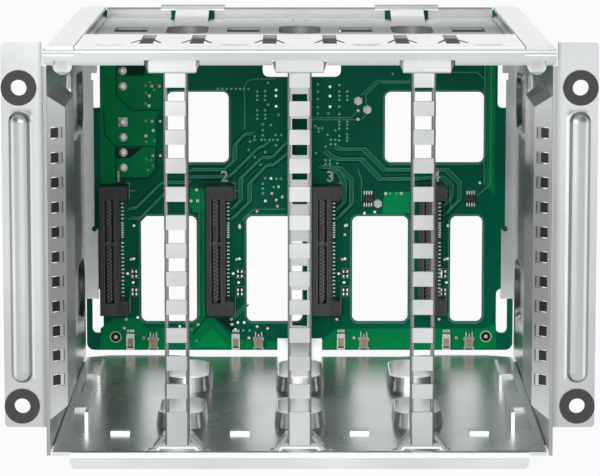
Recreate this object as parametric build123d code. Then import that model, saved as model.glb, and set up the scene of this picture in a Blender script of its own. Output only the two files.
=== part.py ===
from build123d import *
import math
import os

# Drive mounting bracket: a folded sheet-metal cage that holds small disk drives on edge,
# side by side, with a plug-in circuit board across its back.
# Units are millimetres. X runs to the right, Y runs from the open front to the board, Z is up.
# The pieces are modelled from the front face (Y = 0) and the underside of the front lip (Z = 0).
# At export they are moved back by half the depth, so the origin is under the middle of the cage.

os.makedirs("parts", exist_ok=True)

# Sheet and bends
sheet = 1.0                      # steel of the floor, sides and cover
post_sheet = 0.9                 # thinner steel of the ladder posts
bend_inside = 0.6                # inside radius of every fold
lance_gap = 0.4                  # width of a shear slit beside a formed feature
joint_gap = 0.1                  # between two sheets that lie side by side

# Bays
bay_count = 4
bay_pitch = 35.1                 # drive to drive
side_margin = 2.0                # from the outer bay line to the outside of the wall

# Cage outside sizes
cage_depth = 160.0               # front face to the front of the board
lip_height = 4.9                 # front lip under the floor
cage_top = 120.8                 # top face of the side flanges
board_thickness = 1.6

# Mounting ears
ear_width = 11.8                 # ear beyond the cage wall
ear_bottom = 12.2
ear_rise = 1.2                   # ear top above the cage top
ear_corner = 1.3
ear_hole_inset = 5.0             # hole centre from the ear's outer edge
ear_hole_low = 18.3
ear_hole_top_gap = 12.7          # upper hole centre below the ear top
bead_width = 6.0
bead_height = 1.2
bead_draft = 35.0                # degrees
bead_end_gap = 6.7               # hole centre to the end of the bead
beam_end_gap = 0.3               # ear to the end of the cover's front beam

# Grommets in the ears
grommet_diameter = 10.0
grommet_bore = 4.6
grommet_neck = 6.6
grommet_flange = 0.6

# Side panels
top_flange_width = 8.6
foot_flange_width = 14.2
foot_flange_start = 14.0
foot_flange_back_gap = 10.0      # end of the foot flange from the board
rear_flange_width = 5.3          # at its wide parts, from the outside of the wall
rear_flange_step = 1.2           # the narrow part is this much shorter
rear_flange_low = 23.5
rear_flange_top_gap = 6.8        # below the cage top
rear_step_z = 47.0
rear_step_hole = 1.8             # relief hole at the step
rear_notch_deep = 0.7            # relief notch beyond the narrow part
rear_notch_high_gap = 15.2       # its ends below the top of the flange
rear_notch_low_gap = 17.5
hook_length = 3.6                # hook behind the board face
hook_height_low = 2.4
hook_height_high = 5.5
guide_front = 1.6                # pressed guide plateau, at the wall
guide_back = 45.0
guide_low = 14.0
guide_top_gap = 14.0             # below the cage top
guide_depth = 4.8                # inwards from the wall
guide_draft = 36.0               # slope of its flanks, degrees
guide_slot_count = 11
guide_slot_low = 23.4
guide_slot_top_gap = 22.9        # top of the highest slot below the cage top
guide_slot_height = 3.5
guide_slot_margin = 0.2          # share of the flank in front of a slot and behind it
tongue_share = 0.66              # share of the slot that its tongue covers
tongue_lean = 9.0                # degrees, outwards
cup_length = 52.0                # pressed cups towards the back
cup_height = 22.8
cup_depth = 1.5
cup_draft = 30.0                 # degrees
cup_back_gap = 1.5               # cup end to the rear fold
cup_top_gap = 29.6               # centre of the upper cup below the cage top
cup_low_z = 29.0
wall_slot_back_gap = 60.0        # rear end of the wall slots from the board
wall_slot_length = 22.0
wall_slot_height = 10.8
wall_slot_top_gap = 21.1         # centre of the upper slot below the cage top
wall_slot_low_z = 31.5
panel_back_gap = 2.0             # bare wall stops this far short of the board

# Floor pan
floor_back_gap = 3.5             # floor edge to the board face
lip_end_inset = 6.6              # lip end from the outside of the wall
lip_corner = 1.6
boss_width = 15.0
boss_rise = 4.5
boss_draft = 7.0                 # degrees
front_boss = (32.0, 61.0)        # front and back of the front row of bosses
rear_boss_gap = (70.0, 36.0)     # the rear row, from the board
saddle_top_half = 4.1
saddle_foot_half = 7.05
saddle_rise = 3.8
saddle_front = 5.0
saddle_length = 7.0
flare_reach = 9.8                # swept relief cuts beside each saddle
flare_front = 2.8
flare_back = 6.5
wall_tab_offset = 8.7            # tab face from the outside of the wall
wall_tab_height = 5.0
wall_tab_clear = 1.0             # opening beyond each end of the tab
front_tab = (32.0, 66.0)
rear_tab_gap = (68.0, 38.0)      # from the board
stop_width = 5.6
stop_length = 9.0
stop_front = 25.5
stop_rise = 1.0
rear_cut_half = 34.6             # floor edge cut-outs: outer end
centre_tab_half = 7.4
centre_tab_rise = 5.2
rear_cut_depth = 3.0
rear_cut_taper = 7.0
rear_lip_inner = 44.0
rear_lip_outer = 60.0
rear_lip_run = 6.0
rear_corner_fall = 4.0           # floor edge falls back beside the walls

# Top cover
beam_height = 5.2
beam_depth = 45.0
tray_drop = 3.6                  # tray below the beam top
tray_riser_run = 2.6
upstand_rise = 3.2               # rear upstand above the tray
beam_corner = 1.5
strip_slope_run = 4.3            # slope beside the tray
strip_foot = 3.0                 # its overlap on the tray
hook_tab_half = 6.7
hook_tab_wing = 1.1
hook_tab_drop = 2.4              # below the beam
hook_tab_setback = 2.4
hook_tab_shift = 0.8             # outer tabs sit this far out from their post
hook_tab_neck = 5.4              # half width where it hangs from the beam top
beam_notch_rise = 1.4            # relief in the beam's edge over tabs and lobes
lobe_offset = 5.4                # lobe centre from the outside of the wall
lobe_width = 5.5
lobe_drop = 2.9
tee_outer = 8.6                  # latch notch from its divider, on the outward side
tee_inner = 5.8                  # and on the inward side of the outer dividers
tee_core_width = 4.0
tee_core = (11.0, 42.0)          # front and back of the core
tee_leg_root = (20.5, 26.0)      # front and back of a leg beside the core
tee_leg_tip = (11.5, 15.0)       # and at its outer end
tee_reach = 4.3
divider_slit = (6.4, 30.0, 31.6)  # width, front and back
access_hole = (7.8, 4.8, 9.6)    # bow-shaped: width, front and back
access_shift = 1.1               # outwards from the bay centre
cover_boss_drop = 3.9
window_width = 10.3              # window between two drawn guides
window_gap = (61.0, 42.0)    # from the board
arch_width = 5.0
arch_gap = (24.0, 8.0)           # from the board
clip_bar_width = 20.8
clip_bar_height = 1.5
clip_bar_front = 2.0             # bar front from the board
clip_gap_width = 14.2
clip_gap_run = 11.0              # clip gaps from the board
clip_tongue_width = 10.8
clip_tongue_run = 19.0           # tongue root from the board
clip_reach = 3.2                 # bar behind the board's front face
clip_hook = 2.5
clip_clearance = 0.1

# Ladder posts
post_width = 6.8
post_depth = 8.4
post_front = 3.6                 # front face of the front posts
post_corner = 0.5
post_web_drop = 2.5              # web below the saddle top
post_window_count = 12
post_window_low = 15.8
post_window_top_gap = 11.8       # top of the highest window below the cage top
post_window_height = 3.9
post_window_depth = 1.7          # windows reach this far round the folds
rear_post_gap = 1.6              # rear post flanges to the board face

# Circuit board
board_low = 6.0
board_top_gap = 1.3              # below the cage top
board_side_gap = 0.2
board_corner = 2.5
window_corner = 2.0
low_window_left = -0.1           # lower windows, from the bay centre
low_window_width = 18.5
low_window = (15.6, 51.1)
last_window_left = -2.6
last_window_width = 10.6
high_window_gap = (50.5, 27.0)   # from the board's top edge
left_window = (-8.7, 11.6)       # from the first divider
right_window = (-6.9, 25.8)      # from the last divider
top_notch = (-12.2, 13.6)
top_notch_depth = 22.1
side_slot = (3.1, 6.8)           # inner faces from the outside of the wall
high_slot_depth = 32.4
low_slot = (11.7, 26.6)

# Drive connectors
connector_left = -13.35          # left face from the bay centre
connector_body = 6.4
connector_ends = 9.1
connector_end_height = 4.7
connector_end_setback = 0.6      # end blocks below the connector mouth
connector_low = 18.9
connector_length = 43.0
connector_height = 8.6
connector_slot_left = 1.6
connector_slot_width = 3.4
connector_slot_depth = 7.0
connector_slot_end = 4.2
tongue_left = 0.7                # from the side of the slot
tongue_thickness = 1.3
tongue_setback = 1.2             # tongue tip below the connector mouth
contact_pitch = 1.27
contact_fine_pitch = 0.8
contact_width = 0.6
contact_fine_width = 0.42
contact_thickness = 0.25
contact_setback = 0.4            # from the tip of the tongue
power_contacts = 15
fine_contacts = 7
signal_contacts = 7
bridge_height = 1.4

# Parts on the back of the board
header_x = -5.76                 # header line from the first bay centre
header_pitch = 5.08
header_pins = 4
header_width = 9.6
header_length = 22.4
header_height = 11.0
header_wall = 1.2
header_low_gap = 52.2            # lowest pin of each header below the board's top
header_high_gap = 25.1
pin_side = 1.1
pin_length = 7.0
pin_front = 0.8                  # pin ends in front of the board
socket_width = 21.0
socket_height = 11.0
socket_depth = 12.0
socket_wall = 0.6
socket_gap = 35.5                # socket centre below the board's top
socket_insert_gap = 0.2
socket_insert_depth = 9.0
socket_card_slot = 2.0           # height of the slot, and its margin at both ends

# Small parts on the front of the board
lamp_offset = 3.8                # indicator pair, each side of the bay centre
lamp_low = 6.3
lamp_height = 5.3
narrow_lamp = 2.7
wide_lamp = 3.7
lamp_thickness = 1.1
lens_inset = (0.4, 1.0)          # beside the lens, and under and over it
chip_size = (4.4, 5.4)
chip_thickness = 1.3
chip_z = 57.0
chip_offset = 5.0                # chip centre from its bay centre
resistor_size = (1.6, 0.8)
resistor_thickness = 0.6
resistor_offset = -2.35          # resistor bank from the bay centre
resistor_heights = (25.0, 26.4, 31.0, 32.6)

# Worked out from the sizes above
cage_half = bay_pitch * bay_count / 2 + side_margin
wall_inner = cage_half - sheet
floor_half = wall_inner - bend_inside
strip_half = wall_inner - bend_inside - joint_gap
ear_half = cage_half + ear_width
ear_top = cage_top + ear_rise
ear_hole_x = ear_half - ear_hole_inset
ear_hole_high = ear_top - ear_hole_top_gap
floor_top = lip_height
floor_under = floor_top - sheet
flange_under = cage_top - sheet
flange_edge = cage_half - top_flange_width
beam_low = cage_top - beam_height
tray_top = cage_top - tray_drop
tray_under = tray_top - sheet
saddle_top = floor_top + saddle_rise
rear_boss = tuple(cage_depth - gap for gap in rear_boss_gap)
rear_tab = tuple(cage_depth - gap for gap in rear_tab_gap)
board_front = cage_depth
board_back = board_front + board_thickness
board_high = cage_top - board_top_gap
header_lows = (board_high - header_low_gap, board_high - header_high_gap)
socket_x = sum(top_notch) / 2
socket_z = board_high - socket_gap
dividers = [(i - (bay_count - 2) / 2) * bay_pitch for i in range(bay_count - 1)]
bays = [(i - (bay_count - 1) / 2) * bay_pitch for i in range(bay_count)]
depth_total = board_back + socket_depth + bead_height
middle_y = depth_total / 2 - bead_height


# Helpers for solids and folded sections

def block(x0, x1, y0, y1, z0, z1):
    """Plain block between two corners."""
    return Pos((x0 + x1) / 2, (y0 + y1) / 2, (z0 + z1) / 2) * Box(x1 - x0, y1 - y0, z1 - z0)


def along_x(face, x0, x1):
    """Section drawn in Y and Z, pulled from x0 to x1."""
    return extrude(Plane.YZ.offset(x0) * face, x1 - x0)


def along_y(face, y0, y1):
    """Section drawn in X and Z, pulled from y0 to y1."""
    return extrude(Plane.XZ.offset(-y0) * face, y0 - y1)


def along_z(face, z0, z1):
    """Section drawn in X and Y, pulled from z0 to z1."""
    return extrude(Plane.XY.offset(z0) * face, z1 - z0)


def outline(points):
    """Face inside a closed line of points."""
    return make_face(Polyline(*points, close=True))


def rounded(u0, u1, v0, v1, radius):
    """Rectangle with rounded corners between two corners."""
    return Pos((u0 + u1) / 2, (v0 + v1) / 2) * RectangleRounded(u1 - u0, v1 - v0, radius)


def obround(u0, u1, v0, v1):
    """Slot shape that fills a rectangle whose long side runs along v."""
    middle = Pos((u0 + u1) / 2, (v0 + v1) / 2)
    return middle * SlotOverall(v1 - v0, u1 - u0, rotation=90)


def folded(path, thickness, inside=bend_inside):
    """Section of a folded sheet. The path is one face, with the sheet on its left."""
    steps = [(b[0] - a[0], b[1] - a[1]) for a, b in zip(path, path[1:])]
    units = [(u / math.hypot(u, v), v / math.hypot(u, v)) for u, v in steps]
    normals = [(-v, u) for u, v in units]
    start = path[0]
    other = [(start[0] + normals[0][0] * thickness, start[1] + normals[0][1] * thickness)]
    near_radii = []
    far_radii = []
    for corner, before, after, n0, n1 in zip(path[1:], units, units[1:], normals, normals[1:]):
        reach = thickness / (1 + n0[0] * n1[0] + n0[1] * n1[1])
        other.append((corner[0] + (n0[0] + n1[0]) * reach, corner[1] + (n0[1] + n1[1]) * reach))
        turns_left = before[0] * after[1] - before[1] * after[0] > 0
        near_radii.append(inside + thickness if turns_left else inside)
        far_radii.append(inside if turns_left else inside + thickness)
    end = path[-1]
    other.append((end[0] + normals[-1][0] * thickness, end[1] + normals[-1][1] * thickness))
    if inside:
        near = FilletPolyline(*path, radius=near_radii)
        far = FilletPolyline(*other, radius=far_radii)
    else:
        near = Polyline(*path)
        far = Polyline(*other)
    return make_face([near, Line(path[-1], other[-1]), far, Line(other[0], path[0])])


def drawn_boss(x, ends, z_sheet, rise):
    """Drawn obround boss and the open slot through it. A negative rise draws it downwards."""
    y0, y1 = ends
    half = boss_width / 2
    foot = Plane.XY.offset(z_sheet) * obround(x - half, x + half, y0, y1)
    wall = extrude(foot, rise, taper=boss_draft)
    opening = obround(x - half + sheet, x + half - sheet, y0 + sheet, y1 - sheet)
    low, high = sorted((z_sheet - math.copysign(2 * sheet, rise), z_sheet + 2 * rise))
    return wall, along_z(opening, low, high)


def mirrored(shape):
    """The left-hand twin of a right-hand shape."""
    return mirror(shape, about=Plane.YZ)


# Side panels with the mounting ears

def guide_plateau(panel):
    """Inward pressed plateau that guides the outer drive, with sloping flanks all round."""
    high = cage_top - guide_top_gap
    middle = Pos((guide_front + guide_back) / 2, (guide_low + high) / 2)
    slope = math.radians(guide_draft)
    thinner = sheet * (1 / math.cos(slope) - math.tan(slope))
    length = guide_back - guide_front
    height = high - guide_low
    foot = Plane.YZ.offset(wall_inner) * middle * Rectangle(length, height)
    mouth = Plane.YZ.offset(cage_half) * middle * Rectangle(length - 2 * thinner, height - 2 * thinner)
    raised = extrude(foot, guide_depth, dir=(-1, 0, 0), taper=guide_draft)
    hollow = extrude(mouth, guide_depth, dir=(-1, 0, 0), taper=guide_draft)
    return panel + raised - hollow


def guide_slots(panel):
    """Column of slots in the front flank, each with a spring tongue rooted at its front end."""
    slope = math.radians(guide_draft)
    run = guide_depth * math.tan(slope)
    along = Vector(-math.cos(slope), math.sin(slope))
    across = Vector(math.sin(slope), math.cos(slope))
    start = Vector(wall_inner, guide_front)
    flank = math.hypot(guide_depth, run)
    low_end = start + along * (flank * guide_slot_margin)
    far_end = start + along * (flank * (1 - guide_slot_margin / 2))
    through = across * (2 * sheet)
    before = across * -sheet
    corners = [low_end + before, far_end + before, far_end + through, low_end + through]
    slot = outline([(corner.X, corner.Y) for corner in corners])
    lean = math.radians(tongue_lean)
    leaning = along * math.cos(lean) + across * math.sin(lean)
    tip = low_end + leaning * ((far_end - low_end).length * tongue_share)
    root = low_end - along * lance_gap
    corners = [root, low_end, tip, tip + across * sheet, low_end + across * sheet,
               root + across * sheet]
    tongue = outline([(corner.X, corner.Y) for corner in corners])
    highest = cage_top - guide_slot_top_gap - guide_slot_height
    pitch = (highest - guide_slot_low) / (guide_slot_count - 1)
    for index in range(guide_slot_count):
        low = guide_slot_low + index * pitch
        high = low + guide_slot_height
        panel -= along_z(slot, low, high)
        panel += along_z(tongue, low + lance_gap, high - lance_gap)
    return panel


def pressed_cup(panel, z):
    """Outward pressed obround cup near the back of the wall."""
    back = cage_depth - sheet - bend_inside - cup_back_gap
    middle = Pos(back - cup_length / 2, z)
    outer = SlotOverall(cup_length, cup_height)
    inner = SlotOverall(cup_length - 2 * sheet, cup_height - 2 * sheet)
    shell = extrude(Plane.YZ.offset(cage_half) * middle * outer, cup_depth, taper=cup_draft)
    hollow = extrude(Plane.YZ.offset(wall_inner) * middle * inner, cup_depth, taper=cup_draft)
    return panel + shell - hollow


def rear_flange(panel):
    """Inward rear flange with its stepped edge, relief notches and board hooks."""
    wide_edge = cage_half - rear_flange_width
    narrow_edge = wide_edge + rear_flange_step
    high = cage_top - rear_flange_top_gap
    notch_low = high - rear_notch_low_gap
    notch_high = high - rear_notch_high_gap
    path = [(cage_half, cage_depth - 2 * rear_flange_width), (cage_half, cage_depth),
            (wide_edge, cage_depth)]
    flange = along_z(folded(path, sheet, 0), rear_flange_low, high)
    front = cage_depth - 2 * sheet
    back = cage_depth + sheet
    flange -= block(wide_edge - sheet, narrow_edge, front, back, rear_step_z, notch_high)
    flange -= block(wide_edge - sheet, narrow_edge + rear_notch_deep, front, back, notch_low, notch_high)
    round_notch = Pos(narrow_edge, rear_step_z) * Circle(rear_step_hole / 2)
    flange -= along_y(round_notch, front, back)
    panel += flange
    hook_back = cage_depth + hook_length
    starts = (rear_flange_low, notch_high + rear_notch_deep)
    for low, height in zip(starts, (hook_height_low, hook_height_high)):
        panel += block(wide_edge, wide_edge + 0.8 * sheet, cage_depth - sheet, hook_back, low,
                       low + height)
    return panel


def ear(panel):
    """Front ear folded outwards, with its bead and two grommet holes."""
    split = beam_low - beam_end_gap
    path = [(ear_half, sheet), (cage_half, sheet), (cage_half, guide_front + 2 * sheet)]
    panel += along_z(folded(path, sheet), ear_bottom, split)
    panel += block(cage_half + beam_end_gap, ear_half, 0, sheet, split - sheet, ear_top)
    for z, side in ((ear_bottom, 1), (ear_top, -1)):
        z0, z1 = sorted((z, z + side * ear_corner))
        square = block(ear_half - ear_corner, ear_half, 0, sheet, z0, z1)
        round_part = Pos(ear_half - ear_corner, z + side * ear_corner) * Circle(ear_corner)
        panel -= square - along_y(round_part, 0, sheet)
    length = ear_hole_high - ear_hole_low - 2 * bead_end_gap
    middle = Pos(ear_hole_x, (ear_hole_low + ear_hole_high) / 2)
    crown = middle * SlotOverall(length, bead_width, rotation=90)
    groove = middle * SlotOverall(length - 2 * sheet, bead_width - 2 * sheet, rotation=90)
    panel += extrude(Plane.XZ * crown, bead_height, taper=bead_draft)
    panel -= extrude(Plane.XZ.offset(-sheet) * groove, bead_height, taper=bead_draft)
    for z in (ear_hole_low, ear_hole_high):
        panel -= along_y(Pos(ear_hole_x, z) * Circle(grommet_neck / 2), 0, sheet)
    return panel


def side_panel():
    """Right-hand side: wall, top and foot flanges, rear flange and mounting ear."""
    back = cage_depth - panel_back_gap
    top_path = [(cage_half, floor_under), (cage_half, cage_top), (flange_edge, cage_top)]
    panel = along_y(folded(top_path, sheet), sheet + beam_end_gap, back)
    panel += block(wall_inner, cage_half, 0, sheet + beam_end_gap, floor_under, beam_low - beam_end_gap)
    foot_under = floor_under - sheet
    foot_path = [(cage_half - foot_flange_width, foot_under), (cage_half, foot_under),
                 (cage_half, floor_top)]
    foot_back = cage_depth - foot_flange_back_gap
    panel += along_y(folded(foot_path, sheet, 0), foot_flange_start, foot_back)
    panel = ear(panel)
    panel = rear_flange(panel)
    panel = guide_plateau(panel)
    panel = guide_slots(panel)
    for z in (cage_top - cup_top_gap, cup_low_z):
        panel = pressed_cup(panel, z)
    slot_back = cage_depth - wall_slot_back_gap
    for z in (cage_top - wall_slot_top_gap, wall_slot_low_z):
        slot = Pos(slot_back - wall_slot_length / 2, z) * SlotOverall(wall_slot_length, wall_slot_height)
        panel -= along_x(slot, wall_inner, cage_half)
    return panel


# Floor pan

def saddle(x):
    """Lanced bridge that carries the foot of one divider post."""
    slope = (saddle_foot_half - saddle_top_half) / saddle_rise
    drop = 2 * sheet
    foot = saddle_foot_half + slope * drop
    back = saddle_front + saddle_length
    path = [(x + foot, floor_top - drop), (x + saddle_top_half, saddle_top),
            (x - saddle_top_half, saddle_top), (x - foot, floor_top - drop)]
    bridge = along_y(folded(path, sheet, 0), saddle_front, back)
    return bridge & block(x - foot, x + foot, saddle_front, back, floor_under, saddle_top)


def floor_pan():
    """Floor with front and rear lips, drawn guide bosses, saddles, wall tabs and stops."""
    back = cage_depth - floor_back_gap
    lip_half = cage_half - lip_end_inset
    lip_run = 4 * sheet
    lip_path = [(sheet, 0), (sheet, floor_under), (lip_run, floor_under)]
    lip = along_x(folded(lip_path, sheet), -lip_half, lip_half)
    lip &= along_y(rounded(-lip_half, lip_half, 0, floor_top + 2 * lip_corner, lip_corner), 0, lip_run)
    pan = block(-floor_half, floor_half, lip_run, back, floor_under, floor_top) + lip
    for side in (-1, 1):
        x0, x1 = sorted((side * lip_half, side * floor_half))
        pan += block(x0, x1, 0, lip_run, floor_under, floor_top)
    for x in dividers:
        for ends in (front_boss, rear_boss):
            wall, opening = drawn_boss(x, ends, floor_top, boss_rise)
            pan += wall
            pan -= opening
        pan -= saddle_relief(x)
        pan += saddle(x)
    for side in (-1, 1):
        inner = cage_half - wall_tab_offset
        x0, x1 = sorted((side * inner, side * (inner + wall_tab_height)))
        t0, t1 = sorted((side * (inner - sheet), side * inner))
        for y0, y1 in (front_tab, rear_tab):
            pan -= block(x0, x1, y0, y1, floor_under, floor_top)
            pan += block(t0, t1, y0 + wall_tab_clear, y1 - wall_tab_clear, floor_under,
                         floor_top + wall_tab_height)
    for x in bays:
        stop_back = stop_front + stop_length
        ramp = outline([(stop_front, floor_under), (stop_front, floor_top + stop_rise),
                        (stop_back, floor_top), (stop_back, floor_under)])
        pan += along_x(ramp, x - stop_width / 2, x + stop_width / 2)
    return rear_edge(pan, back)


def saddle_relief(x):
    """Opening under a saddle, with swept relief cuts at its front corners."""
    hole_half = saddle_foot_half - sheet
    back = saddle_front + saddle_length + lance_gap
    cut = block(x - hole_half, x + hole_half, saddle_front - lance_gap, back, floor_under, floor_top)
    for side in (-1, 1):
        flare = outline([
            (x + side * (hole_half - sheet), flare_front),
            (x + side * flare_reach, flare_front),
            (x + side * saddle_foot_half, flare_back),
            (x + side * (hole_half - sheet), flare_back),
        ])
        cut += along_z(flare, floor_under, floor_top)
    return cut


def rear_edge(pan, back):
    """Cut-outs, rear lips and the upturned centre tab along the back of the floor."""
    cut_front = back - rear_cut_depth
    outer = rear_cut_half + rear_cut_taper
    corner_start = rear_lip_outer + 2 * sheet
    for side in (-1, 1):
        notch = outline([(side * centre_tab_half, cut_front), (side * rear_cut_half, cut_front),
                         (side * outer, back), (side * centre_tab_half, back)])
        pan -= along_z(notch, floor_under, floor_top)
        corner = outline([(side * corner_start, back), (side * wall_inner, back - rear_corner_fall),
                          (side * wall_inner, back)])
        pan -= along_z(corner, floor_under, floor_top)
        x0, x1 = sorted((side * rear_lip_inner, side * rear_lip_outer))
        lip_front = back - rear_lip_run
        lip_path = [(back, 0), (back, floor_top), (lip_front, floor_top)]
        pan -= block(x0, x1, lip_front, back, floor_under, floor_top)
        pan += along_x(folded(lip_path, sheet, 0), x0, x1)
    tab_path = [(cut_front - 2 * sheet, floor_under), (cage_depth, floor_under),
                (cage_depth, floor_top + centre_tab_rise)]
    pan += along_x(folded(tab_path, sheet, 0), -centre_tab_half, centre_tab_half)
    return pan


# Top cover

def tee_notch(x):
    """Latch notch through the beam top: a long core and two swept legs."""
    half = tee_core_width / 2
    cut = block(x - half, x + half, *tee_core, flange_under, cage_top)
    for side in (-1, 1):
        leg = outline([
            (x + side * half, tee_leg_root[1]),
            (x + side * half, tee_leg_root[0]),
            (x + side * tee_reach, tee_leg_tip[0]),
            (x + side * tee_reach, tee_leg_tip[1]),
        ])
        cut += along_z(leg, flange_under, cage_top)
    return cut


def hook_tab(x):
    """Tab with swept wings that hangs from the beam and holds the head of one post."""
    face = hook_tab_setback
    full = hook_tab_half + hook_tab_wing
    path = [(x - full, face + hook_tab_wing), (x - hook_tab_half, face),
            (x + hook_tab_half, face), (x + full, face + hook_tab_wing)]
    low = beam_low - hook_tab_drop
    wing_high = beam_low + beam_notch_rise - lance_gap
    tab = along_z(folded(path, sheet, 0), low, flange_under)
    keep = outline([
        (x - hook_tab_neck, flange_under), (x - hook_tab_neck, wing_high + lance_gap),
        (x - full, wing_high - lance_gap), (x - hook_tab_half, low),
        (x + hook_tab_half, low), (x + full, wing_high - lance_gap),
        (x + hook_tab_neck, wing_high + lance_gap), (x + hook_tab_neck, flange_under),
    ])
    return tab & along_y(keep, 0, beam_depth)


def lobe(side):
    """Round-ended tab beside the wall."""
    x = side * (cage_half - lobe_offset)
    low = beam_low - lobe_drop
    radius = lobe_width / 2
    high = flange_under - sheet
    centre = low + radius
    stem = Pos(x, (centre + high) / 2) * Rectangle(lobe_width, high - centre)
    shape = stem + Pos(x, centre) * Circle(radius)
    return along_y(shape, hook_tab_setback, hook_tab_setback + sheet)


def rear_clip(x):
    """Bar over the board's top edge, with a sloping tongue under it."""
    bar_low = board_high + clip_clearance
    bar_high = bar_low + clip_bar_height
    bar_front = cage_depth - clip_bar_front
    bar_back = cage_depth + clip_reach
    half = clip_bar_width / 2
    bar = block(x - half, x + half, bar_front, bar_back, bar_low, bar_high)
    hook = block(x - half, x + half, bar_back - sheet, bar_back, bar_low - clip_hook, bar_low)
    root = cage_depth - clip_tongue_run
    middle = (bar_low + bar_high) / 2
    rise = outline([(root, tray_under), (root, tray_top), (bar_front, middle),
                    (bar_front + sheet, middle), (bar_front + sheet, middle - sheet)])
    slope = along_x(rise, x - clip_tongue_width / 2, x + clip_tongue_width / 2)
    return bar + hook + slope


def top_cover():
    """Front beam, sunk tray with drawn guides, side strips and rear upstand with clips."""
    inner_half = flange_edge - beam_end_gap
    back = cage_depth
    tray_front = beam_depth + tray_riser_run
    face_path = [(beam_depth / 2, cage_top), (0, cage_top), (0, beam_low)]
    cover = along_x(folded(face_path, sheet), -inner_half, inner_half)
    main_path = [(back - sheet, tray_top), (tray_front, tray_top), (beam_depth, cage_top),
                 (beam_depth / 2, cage_top)]
    cover += along_x(folded(main_path, sheet, 0), -inner_half, inner_half)
    upstand_path = [(back - 2 * sheet, tray_under), (back, tray_under), (back, tray_top + upstand_rise)]
    cover += along_x(folded(upstand_path, sheet, 0), -inner_half, inner_half)
    for side in (-1, 1):
        cover += cover_end(side, inner_half)
        x0, x1 = sorted((side * (inner_half - sheet), side * inner_half))
        cover += block(x0, x1, sheet, beam_depth, flange_under - sheet, cage_top)
        slope_top = inner_half + strip_slope_run
        strip_path = [(side * strip_half, flange_under), (side * slope_top, flange_under),
                      (side * inner_half, tray_top), (side * (inner_half - strip_foot), tray_top)]
        if side < 0:
            strip_path = list(reversed(strip_path))
        cover += along_y(folded(strip_path, sheet, 0), beam_depth, back - sheet)
        cover += lobe(side)
    for x in dividers:
        shift = math.copysign(hook_tab_shift, x) if x else 0
        full = hook_tab_half + hook_tab_wing
        middle = x + shift
        cover -= block(middle - full, middle + full, 0, sheet, beam_low, beam_low + beam_notch_rise)
        cover += hook_tab(middle)
        wall, opening = drawn_boss(x, rear_boss, tray_under, -cover_boss_drop)
        cover += wall
        cover -= opening
        width, slit_front, slit_back = divider_slit
        cover -= block(x - width / 2, x + width / 2, slit_front, slit_back, flange_under, cage_top)
        for side in (-1, 1):
            offset = tee_outer if x * side >= 0 else tee_inner
            cover -= tee_notch(x + side * offset)
    for x in bays:
        width, hole_front, hole_back = access_hole
        middle = x + math.copysign(access_shift, x)
        hole = ThreePointArc((middle - width / 2, hole_back), (middle, hole_front),
                             (middle + width / 2, hole_back))
        chord = Line((middle + width / 2, hole_back), (middle - width / 2, hole_back))
        cover -= along_z(make_face([hole, chord]), flange_under, cage_top)
        window_front, window_back = (back - gap for gap in window_gap)
        half = window_width / 2
        cover -= block(x - half, x + half, window_front, window_back, tray_under, tray_top)
    arch_front, arch_back = (back - gap for gap in arch_gap)
    half = arch_width / 2
    arch = folded([(half, arch_front), (half, arch_back), (-half, arch_back), (-half, arch_front)],
                  sheet, 0)
    cover -= along_z(arch, tray_under, tray_top)
    for x in (dividers[0], dividers[-1]):
        cover -= clip_gap(x)
        cover += rear_clip(x)
    return cover


def cover_end(side, inner_half):
    """Outer end of the beam, one sheet lower so that the panel's flange lies on it."""
    x0, x1 = sorted((side * inner_half, side * cage_half))
    path = [(beam_depth, flange_under), (0, flange_under), (0, beam_low)]
    end = along_x(folded(path, sheet), x0, x1)
    x2, x3 = sorted((side * strip_half, side * cage_half))
    end -= block(x2, x3, sheet, beam_depth, beam_low, cage_top)
    edge = cage_half - beam_corner
    x4, x5 = sorted((side * edge, side * cage_half))
    square = block(x4, x5, 0, sheet, beam_low, beam_low + beam_corner)
    round_part = Pos(side * edge, beam_low + beam_corner) * Circle(beam_corner)
    end -= square - along_y(round_part, 0, sheet)
    middle = side * (cage_half - lobe_offset)
    half = lobe_width / 2 - lance_gap
    return end - block(middle - half, middle + half, 0, sheet, beam_low, beam_low + beam_notch_rise)


def clip_gap(x):
    """Openings beside a clip tongue: narrow at its root, wide at the board."""
    back = cage_depth
    half = clip_gap_width / 2
    wide = block(x - half, x + half, back - clip_gap_run, back, tray_under, cage_top)
    half = clip_tongue_width / 2 + lance_gap
    return wide + block(x - half, x + half, back - clip_tongue_run, back, tray_under, cage_top)


# Ladder posts

def ladder_post(x, front, low, seat, high):
    """Channel with a ladder of windows through its web and round its folds."""
    half = post_width / 2
    back = front + post_depth
    inner = half - post_sheet
    section = outline([
        (x - half, back), (x - half, front + post_corner), (x - half + post_corner, front),
        (x + half - post_corner, front), (x + half, front + post_corner), (x + half, back),
        (x + inner, back), (x + inner, front + post_sheet), (x - inner, front + post_sheet),
        (x - inner, back),
    ])
    post = along_z(section, low, high)
    if seat > low:
        post -= block(x - half, x + half, front + post_sheet, back, low, seat)
    highest = cage_top - post_window_top_gap - post_window_height
    pitch = (highest - post_window_low) / (post_window_count - 1)
    for index in range(post_window_count):
        z = post_window_low + index * pitch
        post -= block(x - half, x + half, front, front + post_window_depth, z, z + post_window_height)
    return post


# Grommet in one ear hole

def ear_grommet(side, z):
    """Soft ring with a flange on each face of the ear."""
    radius = grommet_diameter / 2
    neck = grommet_neck / 2
    bore = grommet_bore / 2
    front = -grommet_flange
    back = sheet + grommet_flange
    half_section = outline([
        (bore, front), (radius, front), (radius, 0), (neck, 0), (neck, sheet), (radius, sheet),
        (radius, back), (bore, back),
    ])
    ring = revolve(half_section, Axis.Y)
    return Pos(side * ear_hole_x, 0, z) * ring


# Circuit board

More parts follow.
